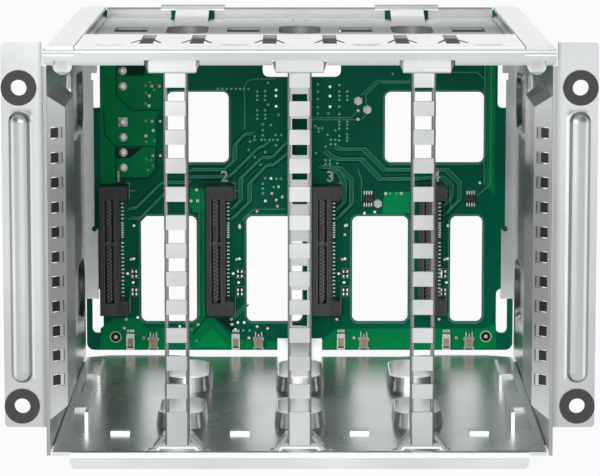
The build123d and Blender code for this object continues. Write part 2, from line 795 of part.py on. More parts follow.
def backplane_board():
    """Board with its air windows, side slots, top notch and header pin holes."""
    half = wall_inner - board_side_gap
    face = rounded(-half, half, board_low, board_high, board_corner)
    over = board_high + window_corner
    high_window = tuple(board_high - gap for gap in high_window_gap)
    cuts = []
    for index, x in enumerate(bays):
        left, width = low_window_left, low_window_width
        if index == len(bays) - 1:
            left, width = last_window_left, last_window_width
        cuts.append((x + left, x + left + width, *low_window))
    cuts.append((dividers[0] + left_window[0], dividers[0] + left_window[1], *high_window))
    cuts.append((dividers[-1] + right_window[0], dividers[-1] + right_window[1], *high_window))
    cuts.append((*top_notch, board_high - top_notch_depth, over))
    for side in (-1, 1):
        x0, x1 = sorted((side * (cage_half - side_slot[0]), side * (cage_half - side_slot[1])))
        cuts.append((x0, x1, board_high - high_slot_depth, over))
        cuts.append((x0, x1, *low_slot))
    for x0, x1, z0, z1 in cuts:
        radius = min(window_corner, (x1 - x0) / 2 - post_corner / 2)
        face -= rounded(x0, x1, z0, z1, radius)
    for x, z in header_pin_places():
        face -= Pos(x, z) * Rectangle(pin_side, pin_side)
    return along_y(face, board_front, board_back)


def header_pin_places():
    """Centre of every power pin, lower header first."""
    x = bays[0] + header_x
    return [(x, low + index * header_pitch) for low in header_lows for index in range(header_pins)]


# Drive connectors

def contact_heights():
    """Height of each contact above the bottom of the connector."""
    heights = []
    z = connector_slot_end + contact_pitch
    groups = ((power_contacts, contact_pitch), (fine_contacts, contact_fine_pitch),
              (signal_contacts, contact_pitch))
    for count, pitch in groups:
        for _ in range(count):
            heights.append(z)
            z += pitch
        z += contact_pitch / 2
    return heights


def connector_tongue_place(x):
    """Left and right face of the tongue inside the slot."""
    left = x + connector_left + connector_slot_left + tongue_left
    return left, left + tongue_thickness


def drive_connector(x):
    """Moulded socket with end blocks, a keyed slot and a contact tongue."""
    left = x + connector_left
    top = connector_low + connector_length
    front = board_front - connector_height
    body = block(left, left + connector_body, front, board_front, connector_low, top)
    ends = ((connector_low, connector_low + connector_end_height), (top - connector_end_height, top))
    for z0, z1 in ends:
        body += block(left, left + connector_ends, front + connector_end_setback, board_front, z0, z1)
    slot_left = left + connector_slot_left
    slot_right = slot_left + connector_slot_width
    slot_low = connector_low + connector_slot_end
    slot_high = top - connector_slot_end
    floor = front + connector_slot_depth
    tip = front + tongue_setback
    body -= block(slot_left, slot_right, front, floor, slot_low, slot_high)
    t0, t1 = connector_tongue_place(x)
    body += block(t0, t1, tip, floor, slot_low, slot_high)
    key = connector_low + contact_heights()[power_contacts] - contact_pitch
    body += block(slot_left, slot_right, tip, floor, key - bridge_height / 2, key + bridge_height / 2)
    return body


def connector_contacts(x):
    """Spring contacts that lie on the tongue, one solid each."""
    t1 = connector_tongue_place(x)[1]
    mouth = board_front - connector_height
    front = mouth + tongue_setback + contact_setback
    back = mouth + connector_slot_depth
    fine = range(power_contacts, power_contacts + fine_contacts)
    solids = []
    for index, height in enumerate(contact_heights()):
        half = (contact_fine_width if index in fine else contact_width) / 2
        z = connector_low + height
        solids.append(block(t1, t1 + contact_thickness, front, back, z - half, z + half))
    return Compound(children=solids)


# Parts behind the board

def power_header(low_pin):
    """Four-way shrouded header, open to the rear."""
    x = bays[0] + header_x
    middle = low_pin + (header_pins - 1) * header_pitch / 2
    back = board_back + header_height
    centre = Pos(x, middle)
    cavity_width = header_width - 2 * header_wall
    cavity_length = header_length - 2 * header_wall
    shroud = along_y(centre * Rectangle(header_width, header_length), board_back, back)
    cavity = centre * Rectangle(cavity_width, cavity_length)
    shroud -= along_y(cavity, board_back + 2 * header_wall, back)
    for index in range(header_pins):
        hole = Pos(x, low_pin + index * header_pitch) * Rectangle(pin_side, pin_side)
        shroud -= along_y(hole, board_back, back)
    return shroud


def power_pins():
    """Square pins of both headers, soldered through the board."""
    pin = Rectangle(pin_side, pin_side)
    places = header_pin_places()
    solids = [along_y(Pos(x, z) * pin, board_front - pin_front, board_back + pin_length) for x, z in places]
    return Compound(children=solids)


def data_socket_shell():
    """Pressed metal shell of the data socket, open at its rear mouth."""
    place = Pos(socket_x, socket_z)
    outer = Rectangle(socket_width, socket_height)
    inner = Rectangle(socket_width - 2 * socket_wall, socket_height - 2 * socket_wall)
    return along_y(place * (outer - inner), board_back, board_back + socket_depth)


def data_socket_insert():
    """Moulded core of the data socket with its card slot."""
    width = socket_width - 2 * (socket_wall + socket_insert_gap)
    height = socket_height - 2 * (socket_wall + socket_insert_gap)
    place = Pos(socket_x, socket_z)
    back = board_back + socket_insert_depth
    core = along_y(place * Rectangle(width, height), board_back, back)
    slot = Rectangle(width - 2 * socket_card_slot, socket_card_slot)
    return core - along_y(place * slot, board_back + socket_card_slot, back)


# Small parts on the board's front

def lamps(offset_x, width):
    """One indicator lamp per bay: a base with a lens on it."""
    side_inset, end_inset = lens_inset
    base_front = board_front - lamp_thickness / 2
    lamp_high = lamp_low + lamp_height
    solids = []
    for x in bays:
        left = x + offset_x - width / 2
        right = left + width
        base = block(left, right, base_front, board_front, lamp_low, lamp_high)
        lens = block(left + side_inset, right - side_inset, board_front - lamp_thickness, base_front,
                     lamp_low + end_inset, lamp_high - end_inset)
        solids.append(base + lens)
    return Compound(children=solids)


def driver_chips():
    """Small flat packages beside the upper ends of two connectors."""
    front = board_front - chip_thickness
    places = (bays[2] + chip_offset, bays[3] + chip_offset - sheet)
    body = Rectangle(*chip_size)
    solids = [along_y(Pos(x, chip_z) * body, front, board_front) for x in places]
    return Compound(children=solids)


def chip_resistors():
    """Bank of small resistors beside each connector."""
    front = board_front - resistor_thickness
    body = Rectangle(*resistor_size)
    places = [(bay + resistor_offset, z) for bay in bays for z in resistor_heights]
    solids = [along_y(Pos(x, z) * body, front, board_front) for x, z in places]
    return Compound(children=solids)


# All nodes by name

def make_nodes():
    """Every piece of the bracket, keyed by the name of its node."""
    right = side_panel()
    nodes = {
        "floor_pan": floor_pan(),
        "right_side_panel": right,
        "left_side_panel": mirrored(right),
        "top_cover": top_cover(),
        "backplane_board": backplane_board(),
    }
    web_low = saddle_top - post_web_drop
    for name, x in zip(("left", "centre", "right"), dividers):
        nodes[f"divider_post_{name}"] = ladder_post(x, post_front, web_low, saddle_top, flange_under)
    rear_front = cage_depth - rear_post_gap - post_depth
    nodes["rear_centre_post"] = ladder_post(dividers[1], rear_front, floor_top, floor_top, tray_under)
    for side, side_name in ((-1, "left"), (1, "right")):
        for z, level in ((ear_hole_low, "lower"), (ear_hole_high, "upper")):
            nodes[f"ear_grommet_{level}_{side_name}"] = ear_grommet(side, z)
    for index, x in enumerate(bays):
        nodes[f"drive_connector_{index + 1}"] = drive_connector(x)
        nodes[f"connector_contacts_{index + 1}"] = connector_contacts(x)
    nodes["power_header_lower"] = power_header(header_lows[0])
    nodes["power_header_upper"] = power_header(header_lows[1])
    nodes["power_pins"] = power_pins()
    nodes["data_socket_shell"] = data_socket_shell()
    nodes["data_socket_insert"] = data_socket_insert()
    nodes["status_lamps_narrow"] = lamps(-lamp_offset, narrow_lamp)
    nodes["status_lamps_wide"] = lamps(lamp_offset, wide_lamp)
    nodes["driver_chips"] = driver_chips()
    nodes["chip_resistors"] = chip_resistors()
    return nodes


for node_name, shape in make_nodes().items():
    export_step(Pos(0, -middle_y, 0) * shape, f"parts/{node_name}.step")
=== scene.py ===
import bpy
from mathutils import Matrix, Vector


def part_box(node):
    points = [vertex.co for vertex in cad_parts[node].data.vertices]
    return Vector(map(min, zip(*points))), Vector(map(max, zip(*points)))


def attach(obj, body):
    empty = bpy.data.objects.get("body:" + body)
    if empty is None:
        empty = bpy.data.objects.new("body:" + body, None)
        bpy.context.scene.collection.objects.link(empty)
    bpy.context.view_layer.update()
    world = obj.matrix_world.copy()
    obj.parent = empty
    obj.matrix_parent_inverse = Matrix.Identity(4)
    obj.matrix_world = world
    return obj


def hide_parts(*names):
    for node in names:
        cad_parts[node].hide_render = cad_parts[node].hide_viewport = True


bl_info = {
    "name": "Drive mounting bracket",
    "version": (1, 0, 0),
    "blender": (4, 5, 0),
    "location": "3D View > Sidebar > Bracket",
    "description": "Finishes, board detail and studio stage of a drive mounting bracket",
    "category": "Object",
}

from math import cos, pi, sin

import bpy
from bpy.props import FloatProperty, FloatVectorProperty, PointerProperty
from mathutils import Vector

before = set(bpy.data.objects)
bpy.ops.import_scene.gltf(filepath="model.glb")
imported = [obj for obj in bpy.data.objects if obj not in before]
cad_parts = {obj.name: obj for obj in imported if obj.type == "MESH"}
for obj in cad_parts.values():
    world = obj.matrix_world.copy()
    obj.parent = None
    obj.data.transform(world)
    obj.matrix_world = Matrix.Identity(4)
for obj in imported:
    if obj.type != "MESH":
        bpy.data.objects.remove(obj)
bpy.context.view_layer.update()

MM = 0.001
QUARTER_TURN = pi / 2
BOARD_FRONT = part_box("backplane_board")[0].y

# Drive connectors in millimetres, with X from the bay centre
CONNECTOR_BOXES = [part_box(f"drive_connector_{number}") for number in range(1, 5)]
CONNECTOR_LEFT = -13.35
CONNECTOR_BODY = 9.5
CONNECTOR_SLOT = (-11.75, -8.35)
CONNECTOR_SLOT_END = 4.2
CONNECTOR_LOW = CONNECTOR_BOXES[0][0].z / MM
CONNECTOR_HIGH = CONNECTOR_BOXES[0][1].z / MM
CONNECTOR_HEIGHT = (BOARD_FRONT - CONNECTOR_BOXES[0][0].y) / MM
CONTACT_PITCH = 1.27
CONTACT_FINE_PITCH = 0.8
TAIL_OFFSET = -6.1
BAY_CENTRES = [low.x / MM - CONNECTOR_LEFT for low, high in CONNECTOR_BOXES]

# Pins of the power headers; the first pin of the lower one has a square pad
PIN_COLUMN = -58.41
PIN_LOWS = (67.3, 94.4)
PIN_PITCH = 5.08
SQUARE_PIN = PIN_LOWS[0] + 3 * PIN_PITCH

# Air windows of the board: left edge from the bay centre, width; heights of all low ones
LOW_WINDOW = (-0.1, 18.5)
LAST_LOW_WINDOW = (-2.6, 10.6)
LOW_WINDOW_HEIGHTS = (15.6, 51.1)
HIGH_WINDOWS = ((-43.8, -23.5), (28.2, 60.9))
HIGH_WINDOW_HEIGHTS = (69.0, 92.5)
WINDOW_RIM = 0.5
# How far each bay moves the small parts beside its connector
SIDE_ROOM = (0, 0, 0, -2.5)

# The floor, panel, cover and post finishes are one zinc-plated steel, each copy with its own painted
# brightness and painted light and shade
STEEL_FINISHES = {
    "floor_pan": "zinc_plated_floor",
    "left_side_panel": "zinc_plated_panel",
    "right_side_panel": "zinc_plated_panel",
    "top_cover": "zinc_plated_cover",
    "divider_post_left": "zinc_plated_post",
    "divider_post_centre": "zinc_plated_post",
    "divider_post_right": "zinc_plated_post",
    "rear_centre_post": "zinc_plated_steel",
}

# Each shade is painted light and shade: a box with soft sides, in millimetres: middle, reach, soft
# edge, share of the tint. A share under 1 is painted shade, over 1 a painted highlight. Left and
# right of the object count alike.
PANEL_SHADES = (
    # inner faces of the walls and guides in painted light, their middle in painted shade, painted
    # shade on the fold beside the ear, painted highlight on the flange over the cover, painted shade
    # on its outer fold
    ((66.0, -15.0, 54.0), (6.3, 71.0, 62.5), (1.0, 2.0, 1.0), 1.2),
    ((66.0, -15.0, 62.0), (6.3, 71.0, 46.0), (1.0, 2.0, 26.0), 0.5),
    ((72.1, -86.8, 60.0), (1.6, 1.5, 80.0), (1.2, 0.5, 1.0), 0.72),
    ((66.0, 0.0, 122.0), (6.4, 85.0, 4.0), (0.2, 0.5, 0.5), 1.4),
    ((72.3, 0.0, 120.0), (0.9, 86.0, 3.0), (0.4, 1.0, 0.5), 0.6),
    # painted highlights on the inner and outer flank of the ear beads, painted shade on their upper
    # ends
    ((75.6, -87.0, 63.8), (0.55, 3.0, 38.0), (0.3, 1.0, 1.0), 1.5),
    ((80.8, -87.0, 63.8), (0.55, 3.0, 38.0), (0.3, 1.0, 1.0), 1.5),
    ((78.2, -87.0, 101.4), (3.2, 3.0, 2.2), (1.0, 1.0, 1.4), 0.62),
)
FLOOR_SHADES = (
    # painted shade on the saddles under the posts and on the front edges of the stops
    ((0.0, -81.5, 8.0), (7.6, 1.2, 3.0), (0.6, 0.4, 0.5), 0.55),
    ((35.1, -81.5, 8.0), (7.6, 1.2, 3.0), (0.6, 0.4, 0.5), 0.55),
    ((0.0, -60.7, 6.4), (62.0, 0.4, 0.8), (1.0, 0.1, 0.1), 0.62),
)
COVER_SHADES = (
    # painted shade on the sunk tray, on what shows through the latch notches and on the rear edges of
    # their cores
    ((0.0, 20.0, 116.5), (79.0, 62.0, 2.2), (6.0, 55.0, 0.6), 0.36),
    ((0.0, -58.0, 116.4), (80.0, 20.5, 3.3), (1.0, 1.0, 0.2), 0.3),
    ((0.0, -44.2, 120.3), (80.0, 0.35, 0.8), (1.0, 0.1, 0.1), 0.5),
    # painted shade on the rear upstand and on its rim with the clip bars
    ((0.0, 73.5, 119.0), (90.0, 1.6, 4.0), (1.0, 0.4, 0.5), 0.6),
    ((0.0, 74.5, 121.4), (90.0, 3.2, 1.7), (1.0, 0.4, 0.3), 0.6),
    # painted shade on the hook tabs and lobes, darker on their lower edges, and on the lobes' middles
    ((0.0, -83.3, 114.4), (75.0, 1.3, 2.8), (1.0, 0.3, 0.8), 0.78),
    ((0.0, -83.3, 113.1), (75.0, 1.3, 0.6), (1.0, 0.3, 0.3), 0.62),
    ((66.8, -83.3, 115.4), (3.0, 1.3, 3.0), (2.4, 0.3, 2.4), 0.78),
    # painted shade on the front of the beam and on its edges
    ((0.0, -90.0, 115.0), (90.0, 14.0, 9.0), (1.0, 8.0, 0.5), 0.98),
    ((0.0, -88.0, 115.0), (90.0, 2.8, 6.2), (1.0, 0.8, 0.5), 0.66),
    ((0.0, -88.0, 114.4), (84.0, 2.6, 2.4), (1.0, 0.8, 2.0), 0.72),
)
POST_SHADES = (
    # painted shade on the folds along the centre post and along the outer ones
    ((3.3, 0.0, 60.0), (0.55, 100.0, 70.0), (0.3, 1.0, 1.0), 0.66),
    ((31.8, 0.0, 60.0), (0.55, 100.0, 70.0), (0.3, 1.0, 1.0), 0.66),
    ((38.4, 0.0, 60.0), (0.55, 100.0, 70.0), (0.3, 1.0, 1.0), 0.66),
    # painted shade on the flange edges behind their windows
    ((3.0, -78.0, 60.0), (0.9, 4.0, 70.0), (0.3, 0.5, 1.0), 0.55),
    ((32.1, -78.0, 60.0), (0.9, 4.0, 70.0), (0.3, 0.5, 1.0), 0.55),
    ((38.1, -78.0, 60.0), (0.9, 4.0, 70.0), (0.3, 0.5, 1.0), 0.55),
)
# Lanced slots of a guide: the lowest one's painted shade, their pitch, and lowest and highest edge
GUIDE_SLOT_SHADE = ((68.75, -81.5, 25.15), (1.7, 4.0, 1.7), (0.3, 1.0, 0.3), 0.12)
GUIDE_SLOT_PITCH = 7.1
GUIDE_SLOT_RANGE = (21.6, 99.7)
# Upright bead of each ear
BEAD_MIDDLE = 78.2
BEAD_WIDTH = 6.4
BEAD_ENDS = (25.0, 102.6)

GROMMET_NODES = (
    "ear_grommet_lower_left", "ear_grommet_upper_left",
    "ear_grommet_lower_right", "ear_grommet_upper_right",
)


# Settings a user would change

class BracketSteel(bpy.types.PropertyGroup):
    tint: FloatVectorProperty(
        name="Steel tint", description="Colour of the zinc-plated sheet", subtype="COLOR",
        default=(0.54, 0.555, 0.555), min=0, max=1)
    roughness: FloatProperty(
        name="Roughness", description="Satin of the sheet", default=0.27, min=0.05, max=1)
    grain: FloatProperty(
        name="Grain", description="Depth of the rolled grain", default=0.06, min=0, max=1)
    crown: FloatProperty(
        name="Bead crown", description="Extra roundness of the ear beads, in millimetres",
        default=1.1, min=0, max=3)


class BracketBoard(bpy.types.PropertyGroup):
    mask: FloatVectorProperty(
        name="Solder mask", description="Colour of the board between copper", subtype="COLOR",
        default=(0.0, 0.19, 0.108), min=0, max=1)
    bare: FloatVectorProperty(
        name="Mask over clearances", description="Colour of the mask in the gaps between copper",
        subtype="COLOR", default=(0.004, 0.06, 0.04), min=0, max=1)
    pour: FloatVectorProperty(
        name="Mask over copper", description="Colour of the mask where copper lies under it",
        subtype="COLOR", default=(0.0, 0.38, 0.11), min=0, max=1)
    trace: FloatVectorProperty(
        name="Trace", description="Colour of the mask over narrow tracks", subtype="COLOR",
        default=(0.13, 0.56, 0.38), min=0, max=1)
    bundle: FloatVectorProperty(
        name="Bundle", description="Colour of the mask over bundles of tracks", subtype="COLOR",
        default=(0.02, 0.3, 0.18), min=0, max=1)
    ink: FloatVectorProperty(
        name="Print", description="Colour of the printed marks", subtype="COLOR",
        default=(0.86, 0.93, 0.88), min=0, max=1)
    via: FloatProperty(
        name="Via", description="Outside diameter of a small via, in millimetres",
        default=0.8, min=0.3, max=2)
    track: FloatProperty(
        name="Track width", description="Width of a narrow track, in millimetres",
        default=0.5, min=0.1, max=2)


class BracketMouldings(bpy.types.PropertyGroup):
    connector: FloatVectorProperty(
        name="Connector", description="Colour of the drive connectors", subtype="COLOR",
        default=(0.045, 0.046, 0.05), min=0, max=1)
    grommet: FloatVectorProperty(
        name="Grommet", description="Colour of the ear grommets", subtype="COLOR",
        default=(0.045, 0.045, 0.046), min=0, max=1)
    header: FloatVectorProperty(
        name="Power header", description="Colour of the power headers", subtype="COLOR",
        default=(0.72, 0.69, 0.6), min=0, max=1)
    resin: FloatVectorProperty(
        name="Lamp resin", description="Colour of the status lamps", subtype="COLOR",
        default=(0.55, 0.5, 0.36), min=0, max=1)


class BracketStage(bpy.types.PropertyGroup):
    camera_distance: FloatProperty(
        name="Camera distance", description="Camera to the middle of the object", unit="LENGTH",
        default=1.0012, min=0.2, max=10)
    camera_height: FloatProperty(
        name="Camera height", description="Camera above the floor", unit="LENGTH",
        default=0.1977, min=0, max=5)
    camera_pitch: FloatProperty(
        name="Camera pitch", description="Camera turned down from level", subtype="ANGLE",
        default=0.14224, min=-1.5, max=1.5)
    lens: FloatProperty(
        name="Lens", description="Focal length", default=196.1, min=10, max=500)
    key_power: FloatProperty(
        name="Key light", description="Power of the large front left softbox", unit="POWER",
        default=4.5, min=0, max=200)
    front_power: FloatProperty(
        name="Front light", description="Power of the softbox over the camera", unit="POWER",
        default=7.0, min=0, max=200)
    top_power: FloatProperty(
        name="Top light", description="Power of the overhead softbox", unit="POWER",
        default=4.0, min=0, max=200)
    room: FloatProperty(
        name="Room light", description="Strength of the light from all round", default=0.5,
        min=0, max=2)
    card_distance: FloatProperty(
        name="Dark cards", description="Object to the dark card on either side", unit="LENGTH",
        default=0.8, min=0.2, max=5)


# Modelling helpers

# Share of a track's height by which its middle stands off the board
TRACK_LIFT = 0.2


def deselect():
    bpy.ops.object.select_all(action="DESELECT")


def activate(piece):
    deselect()
    piece.select_set(True)
    bpy.context.view_layer.objects.active = piece


def settle(piece, name):
    """Name the piece and put its place, turn and scale into its mesh."""
    activate(piece)
    bpy.ops.object.transform_apply(location=True, rotation=True, scale=True)
    piece.name = name
    piece.data.name = name
    return piece


def start_block(name, x0, x1, y0, y1, z0, z1, edge=0.0):
    """Block with eased edges. X and Z in millimetres, Y in millimetres in front of the board."""
    deselect()
    bpy.ops.mesh.primitive_cube_add(
        size=1,
        location=((x0 + x1) / 2 * MM, BOARD_FRONT - (y0 + y1) / 2 * MM, (z0 + z1) / 2 * MM),
        scale=((x1 - x0) * MM, (y1 - y0) * MM, (z1 - z0) * MM))
    piece = settle(bpy.context.object, name)
    if edge:
        bpy.ops.object.mode_set(mode="EDIT")
        bpy.ops.mesh.select_all(action="SELECT")
        bpy.ops.mesh.bevel(offset=edge * MM, segments=1, affect="EDGES")
        bpy.ops.object.mode_set(mode="OBJECT")
    return piece


def start_disc(name, radius, height, corners):
    """Short round peg on the board's front at X 0, Z 0."""
    deselect()
    bpy.ops.mesh.primitive_cylinder_add(
        vertices=corners, radius=radius * MM, depth=height * MM,
        location=(0, BOARD_FRONT - height / 2 * MM, 0), rotation=(QUARTER_TURN, 0, 0))
    return settle(bpy.context.object, name)


def pick_faces(piece, keep):
    """Edit mode with only those faces picked for which keep(centre, normal) is true."""
    activate(piece)
    bpy.ops.object.mode_set(mode="EDIT")
    bpy.ops.mesh.select_mode(type="FACE")
    bpy.ops.mesh.select_all(action="DESELECT")
    bpy.ops.object.mode_set(mode="OBJECT")
    for face in piece.data.polygons:
        face.select = keep(face.center, face.normal)
    bpy.ops.object.mode_set(mode="EDIT")


def facing_front(centre, normal):
    return normal.y < -0.9


def join(pieces, name):
    deselect()
    for piece in pieces:
        piece.select_set(True)
    bpy.context.view_layer.objects.active = pieces[0]
    if len(pieces) > 1:
        bpy.ops.object.join()
    joined = bpy.context.view_layer.objects.active
    joined.name = name
    joined.data.name = name
    return joined


def repeat(piece, name, places):
    """One piece made of copies of a small one, at each (x, z) in millimetres."""
    copies = []
    for x, z in places:
        twin = piece.copy()
        twin.data = piece.data.copy()
        bpy.context.scene.collection.objects.link(twin)
        twin.location = (x * MM, 0, z * MM)
        copies.append(twin)
    bpy.data.objects.remove(piece)
    joined = join(copies, name)
    return settle(joined, name)


def draw_tracks(name, runs, width, height):
    """Narrow flat tracks along lines of (x, z) points on the board's front."""
    deselect()
    bpy.ops.curve.primitive_nurbs_path_add(location=(0, 0, 0))
    curve = bpy.context.object
    curve.data.splines.clear()
    for run in runs:
        spline = curve.data.splines.new("POLY")
        spline.points.add(len(run) - 1)
        for point, (x, z) in zip(spline.points, run):
            point.co = (x * MM, 0, z * MM, 1)
    curve.data.bevel_depth = width / 2 * MM
    curve.data.bevel_resolution = 0
    curve.data.use_fill_caps = True
    bpy.ops.object.convert(target="MESH")
    piece = bpy.context.object
    piece.scale = (1, 2 * height / width, 1)
    piece.location = (0, BOARD_FRONT - height * TRACK_LIFT * MM, 0)
    return settle(piece, name)


def fill_areas(name, outlines, height):
    """Thin flat plates with outlines of (x, z) points, lying on the board's front."""
    deselect()
    bpy.ops.curve.primitive_nurbs_path_add(location=(0, 0, 0))
    curve = bpy.context.object
    curve.data.splines.clear()
    curve.data.dimensions = "2D"
    curve.data.fill_mode = "BOTH"
    curve.data.extrude = height / 2 * MM
    for outline in outlines:
        spline = curve.data.splines.new("POLY")
        spline.points.add(len(outline) - 1)
        for point, (x, z) in zip(spline.points, outline):
            point.co = (x * MM, z * MM, 0, 1)
        spline.use_cyclic_u = True
    bpy.ops.object.convert(target="MESH")
    piece = bpy.context.object
    piece.rotation_euler = (QUARTER_TURN, 0, 0)
    piece.location = (0, BOARD_FRONT - height / 2 * MM, 0)
    return settle(piece, name)


def rounded_run(x0, x1, z0, z1, radius):
    """Closed line round a rectangle with round corners."""
    run = []
    steps = 3
    corners = ((x1, z1, 0), (x0, z1, 1), (x0, z0, 2), (x1, z0, 3))
    for x, z, quarter in corners:
        middle_x = x - radius if x == x1 else x + radius
        middle_z = z - radius if z == z1 else z + radius
        for step in range(steps + 1):
            angle = (quarter + step / steps) * QUARTER_TURN
            run.append((middle_x + radius * cos(angle), middle_z + radius * sin(angle)))
    return run + run[:1]


def finish(piece, material):
    piece.data.materials.clear()
    piece.data.materials.append(material)
    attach(piece, "root")
    return piece


def paint_node(name, material):
    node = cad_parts[name]
    node.data.materials.clear()
    node.data.materials.append(material)


def soften(piece):
    activate(piece)
    bpy.ops.object.shade_smooth_by_angle(angle=0.6)


# Shader groups and materials

def add_node(tree, kind, inputs=None, **settings):
    made = tree.nodes.new(kind)
    for key, value in settings.items():
        setattr(made, key, value)
    for key, value in (inputs or {}).items():
        made.inputs[key].default_value = value
    return made


def new_group(name, takes, gives):
    """Empty shader group with its sockets; takes and gives are (name, socket kind)."""
    tree = bpy.data.node_groups.new(name, "ShaderNodeTree")
    for label, kind in takes:
        tree.interface.new_socket(name=label, in_out="INPUT", socket_type=kind)
    for label, kind in gives:
        tree.interface.new_socket(name=label, in_out="OUTPUT", socket_type=kind)
    return tree, tree.nodes.new("NodeGroupInput"), tree.nodes.new("NodeGroupOutput")


def rolled_grain_group():
    """Fine grain drawn out along the rolling direction, and broad handling marks."""
    tree, entry, leave = new_group(
        "rolled_grain",
        [("Vector", "NodeSocketVector"), ("Scale", "NodeSocketFloat"), ("Drawn", "NodeSocketVector")],
        [("Grain", "NodeSocketFloat"), ("Marks", "NodeSocketFloat")])
    drawn = add_node(tree, "ShaderNodeVectorMath", operation="MULTIPLY")
    fine = add_node(tree, "ShaderNodeTexNoise", {"Detail": 3.0, "Roughness": 0.6})
    broad = add_node(tree, "ShaderNodeTexNoise", {"Scale": 22.0, "Detail": 4.0, "Roughness": 0.55})
    tree.links.new(entry.outputs["Vector"], drawn.inputs[0])
    tree.links.new(entry.outputs["Drawn"], drawn.inputs[1])
    tree.links.new(drawn.outputs[0], fine.inputs["Vector"])
    tree.links.new(entry.outputs["Scale"], fine.inputs["Scale"])
    tree.links.new(entry.outputs["Vector"], broad.inputs["Vector"])
    tree.links.new(fine.outputs[0], leave.inputs["Grain"])
    tree.links.new(broad.outputs[0], leave.inputs["Marks"])
    return tree


def shade_box_group():
    """How far a point lies inside a box with soft sides; left and right count alike."""
    vectors = ("Vector", "Middle", "Reach", "Soft")
    tree, entry, leave = new_group(
        "shade_box", [(label, "NodeSocketVector") for label in vectors],
        [("Inside", "NodeSocketFloat")])
    parts = add_node(tree, "ShaderNodeSeparateXYZ")
    beside = add_node(tree, "ShaderNodeMath", operation="ABSOLUTE")
    whole = add_node(tree, "ShaderNodeCombineXYZ")
    tree.links.new(entry.outputs["Vector"], parts.inputs[0])
    tree.links.new(parts.outputs["X"], beside.inputs[0])
    tree.links.new(beside.outputs[0], whole.inputs["X"])
    tree.links.new(parts.outputs["Y"], whole.inputs["Y"])
    tree.links.new(parts.outputs["Z"], whole.inputs["Z"])
    last = whole.outputs[0]
    for operation, first, second in (
            ("SUBTRACT", None, "Middle"), ("ABSOLUTE", None, None), ("SUBTRACT", "Reach", None),
            ("DIVIDE", None, "Soft"), ("MINIMUM", None, 1.0), ("MAXIMUM", None, 0.0)):
        step = add_node(tree, "ShaderNodeVectorMath", operation=operation)
        tree.links.new(last, step.inputs[1 if first else 0])
        if first:
            tree.links.new(entry.outputs[first], step.inputs[0])
        if isinstance(second, str):
            tree.links.new(entry.outputs[second], step.inputs[1])
        elif second is not None:
            step.inputs[1].default_value = (second, second, second)
        last = step.outputs[0]
    sides = add_node(tree, "ShaderNodeSeparateXYZ")
    two = add_node(tree, "ShaderNodeMath", operation="MULTIPLY")
    three = add_node(tree, "ShaderNodeMath", operation="MULTIPLY")
    tree.links.new(last, sides.inputs[0])
    tree.links.new(sides.outputs["X"], two.inputs[0])
    tree.links.new(sides.outputs["Y"], two.inputs[1])
    tree.links.new(two.outputs[0], three.inputs[0])
    tree.links.new(sides.outputs["Z"], three.inputs[1])
    tree.links.new(three.outputs[0], leave.inputs["Inside"])
    return tree


def slot_rows_group():
    """Vector whose Z starts again at each guide slot, and lies far off outside their range."""
    tree, entry, leave = new_group(
        "slot_rows", [("Vector", "NodeSocketVector")], [("Folded", "NodeSocketVector")])
    parts = add_node(tree, "ShaderNodeSeparateXYZ")
    low, high = GUIDE_SLOT_RANGE
    start = low * MM
    fold = add_node(tree, "ShaderNodeMath", operation="WRAP")
    fold.inputs[1].default_value = start + GUIDE_SLOT_PITCH * MM
    fold.inputs[2].default_value = start
    over = add_node(tree, "ShaderNodeMath", operation="GREATER_THAN")
    over.inputs[1].default_value = high * MM
    under = add_node(tree, "ShaderNodeMath", operation="LESS_THAN")
    under.inputs[1].default_value = start
    outside = add_node(tree, "ShaderNodeMath", operation="ADD")
    moved = add_node(tree, "ShaderNodeMath", operation="ADD")
    whole = add_node(tree, "ShaderNodeCombineXYZ")
    tree.links.new(entry.outputs["Vector"], parts.inputs[0])
    for step in (fold, over, under):
        tree.links.new(parts.outputs["Z"], step.inputs[0])
    tree.links.new(over.outputs[0], outside.inputs[0])
    tree.links.new(under.outputs[0], outside.inputs[1])
    tree.links.new(fold.outputs[0], moved.inputs[0])
    tree.links.new(outside.outputs[0], moved.inputs[1])
    tree.links.new(parts.outputs["X"], whole.inputs["X"])
    tree.links.new(parts.outputs["Y"], whole.inputs["Y"])
    tree.links.new(moved.outputs[0], whole.inputs["Z"])
    tree.links.new(whole.outputs[0], leave.inputs["Folded"])
    return tree


def bead_crown_group():
    """Height of a round crown over the upright bead of each ear, 0 beside it."""
    tree, entry, leave = new_group(
        "bead_crown", [("Vector", "NodeSocketVector")], [("Height", "NodeSocketFloat")])
    parts = add_node(tree, "ShaderNodeSeparateXYZ")
    tree.links.new(entry.outputs["Vector"], parts.inputs[0])

    def chain(source, *steps):
        for operation, value in steps:
            step = add_node(tree, "ShaderNodeMath", operation=operation)
            tree.links.new(source, step.inputs[0])
            if value is not None:
                step.inputs[1].default_value = value
            source = step.outputs[0]
        return source

    low, high = BEAD_ENDS
    run = (high - low - BEAD_WIDTH) / 2
    across = chain(parts.outputs["X"], ("ABSOLUTE", None), ("SUBTRACT", BEAD_MIDDLE * MM),
                   ("DIVIDE", BEAD_WIDTH / 2 * MM), ("POWER", 2.0))
    along = chain(parts.outputs["Z"], ("SUBTRACT", (low + high) / 2 * MM), ("ABSOLUTE", None),
                  ("SUBTRACT", run * MM), ("MAXIMUM", 0.0), ("DIVIDE", BEAD_WIDTH / 2 * MM),
                  ("POWER", 2.0))
    total = add_node(tree, "ShaderNodeMath", operation="ADD")
    tree.links.new(across, total.inputs[0])
    tree.links.new(along, total.inputs[1])
    height = chain(total.outputs[0], ("MULTIPLY", -1.0), ("ADD", 1.0), ("MAXIMUM", 0.0),
                   ("POWER", 1.6))
    tree.links.new(height, leave.inputs["Height"])
    return tree


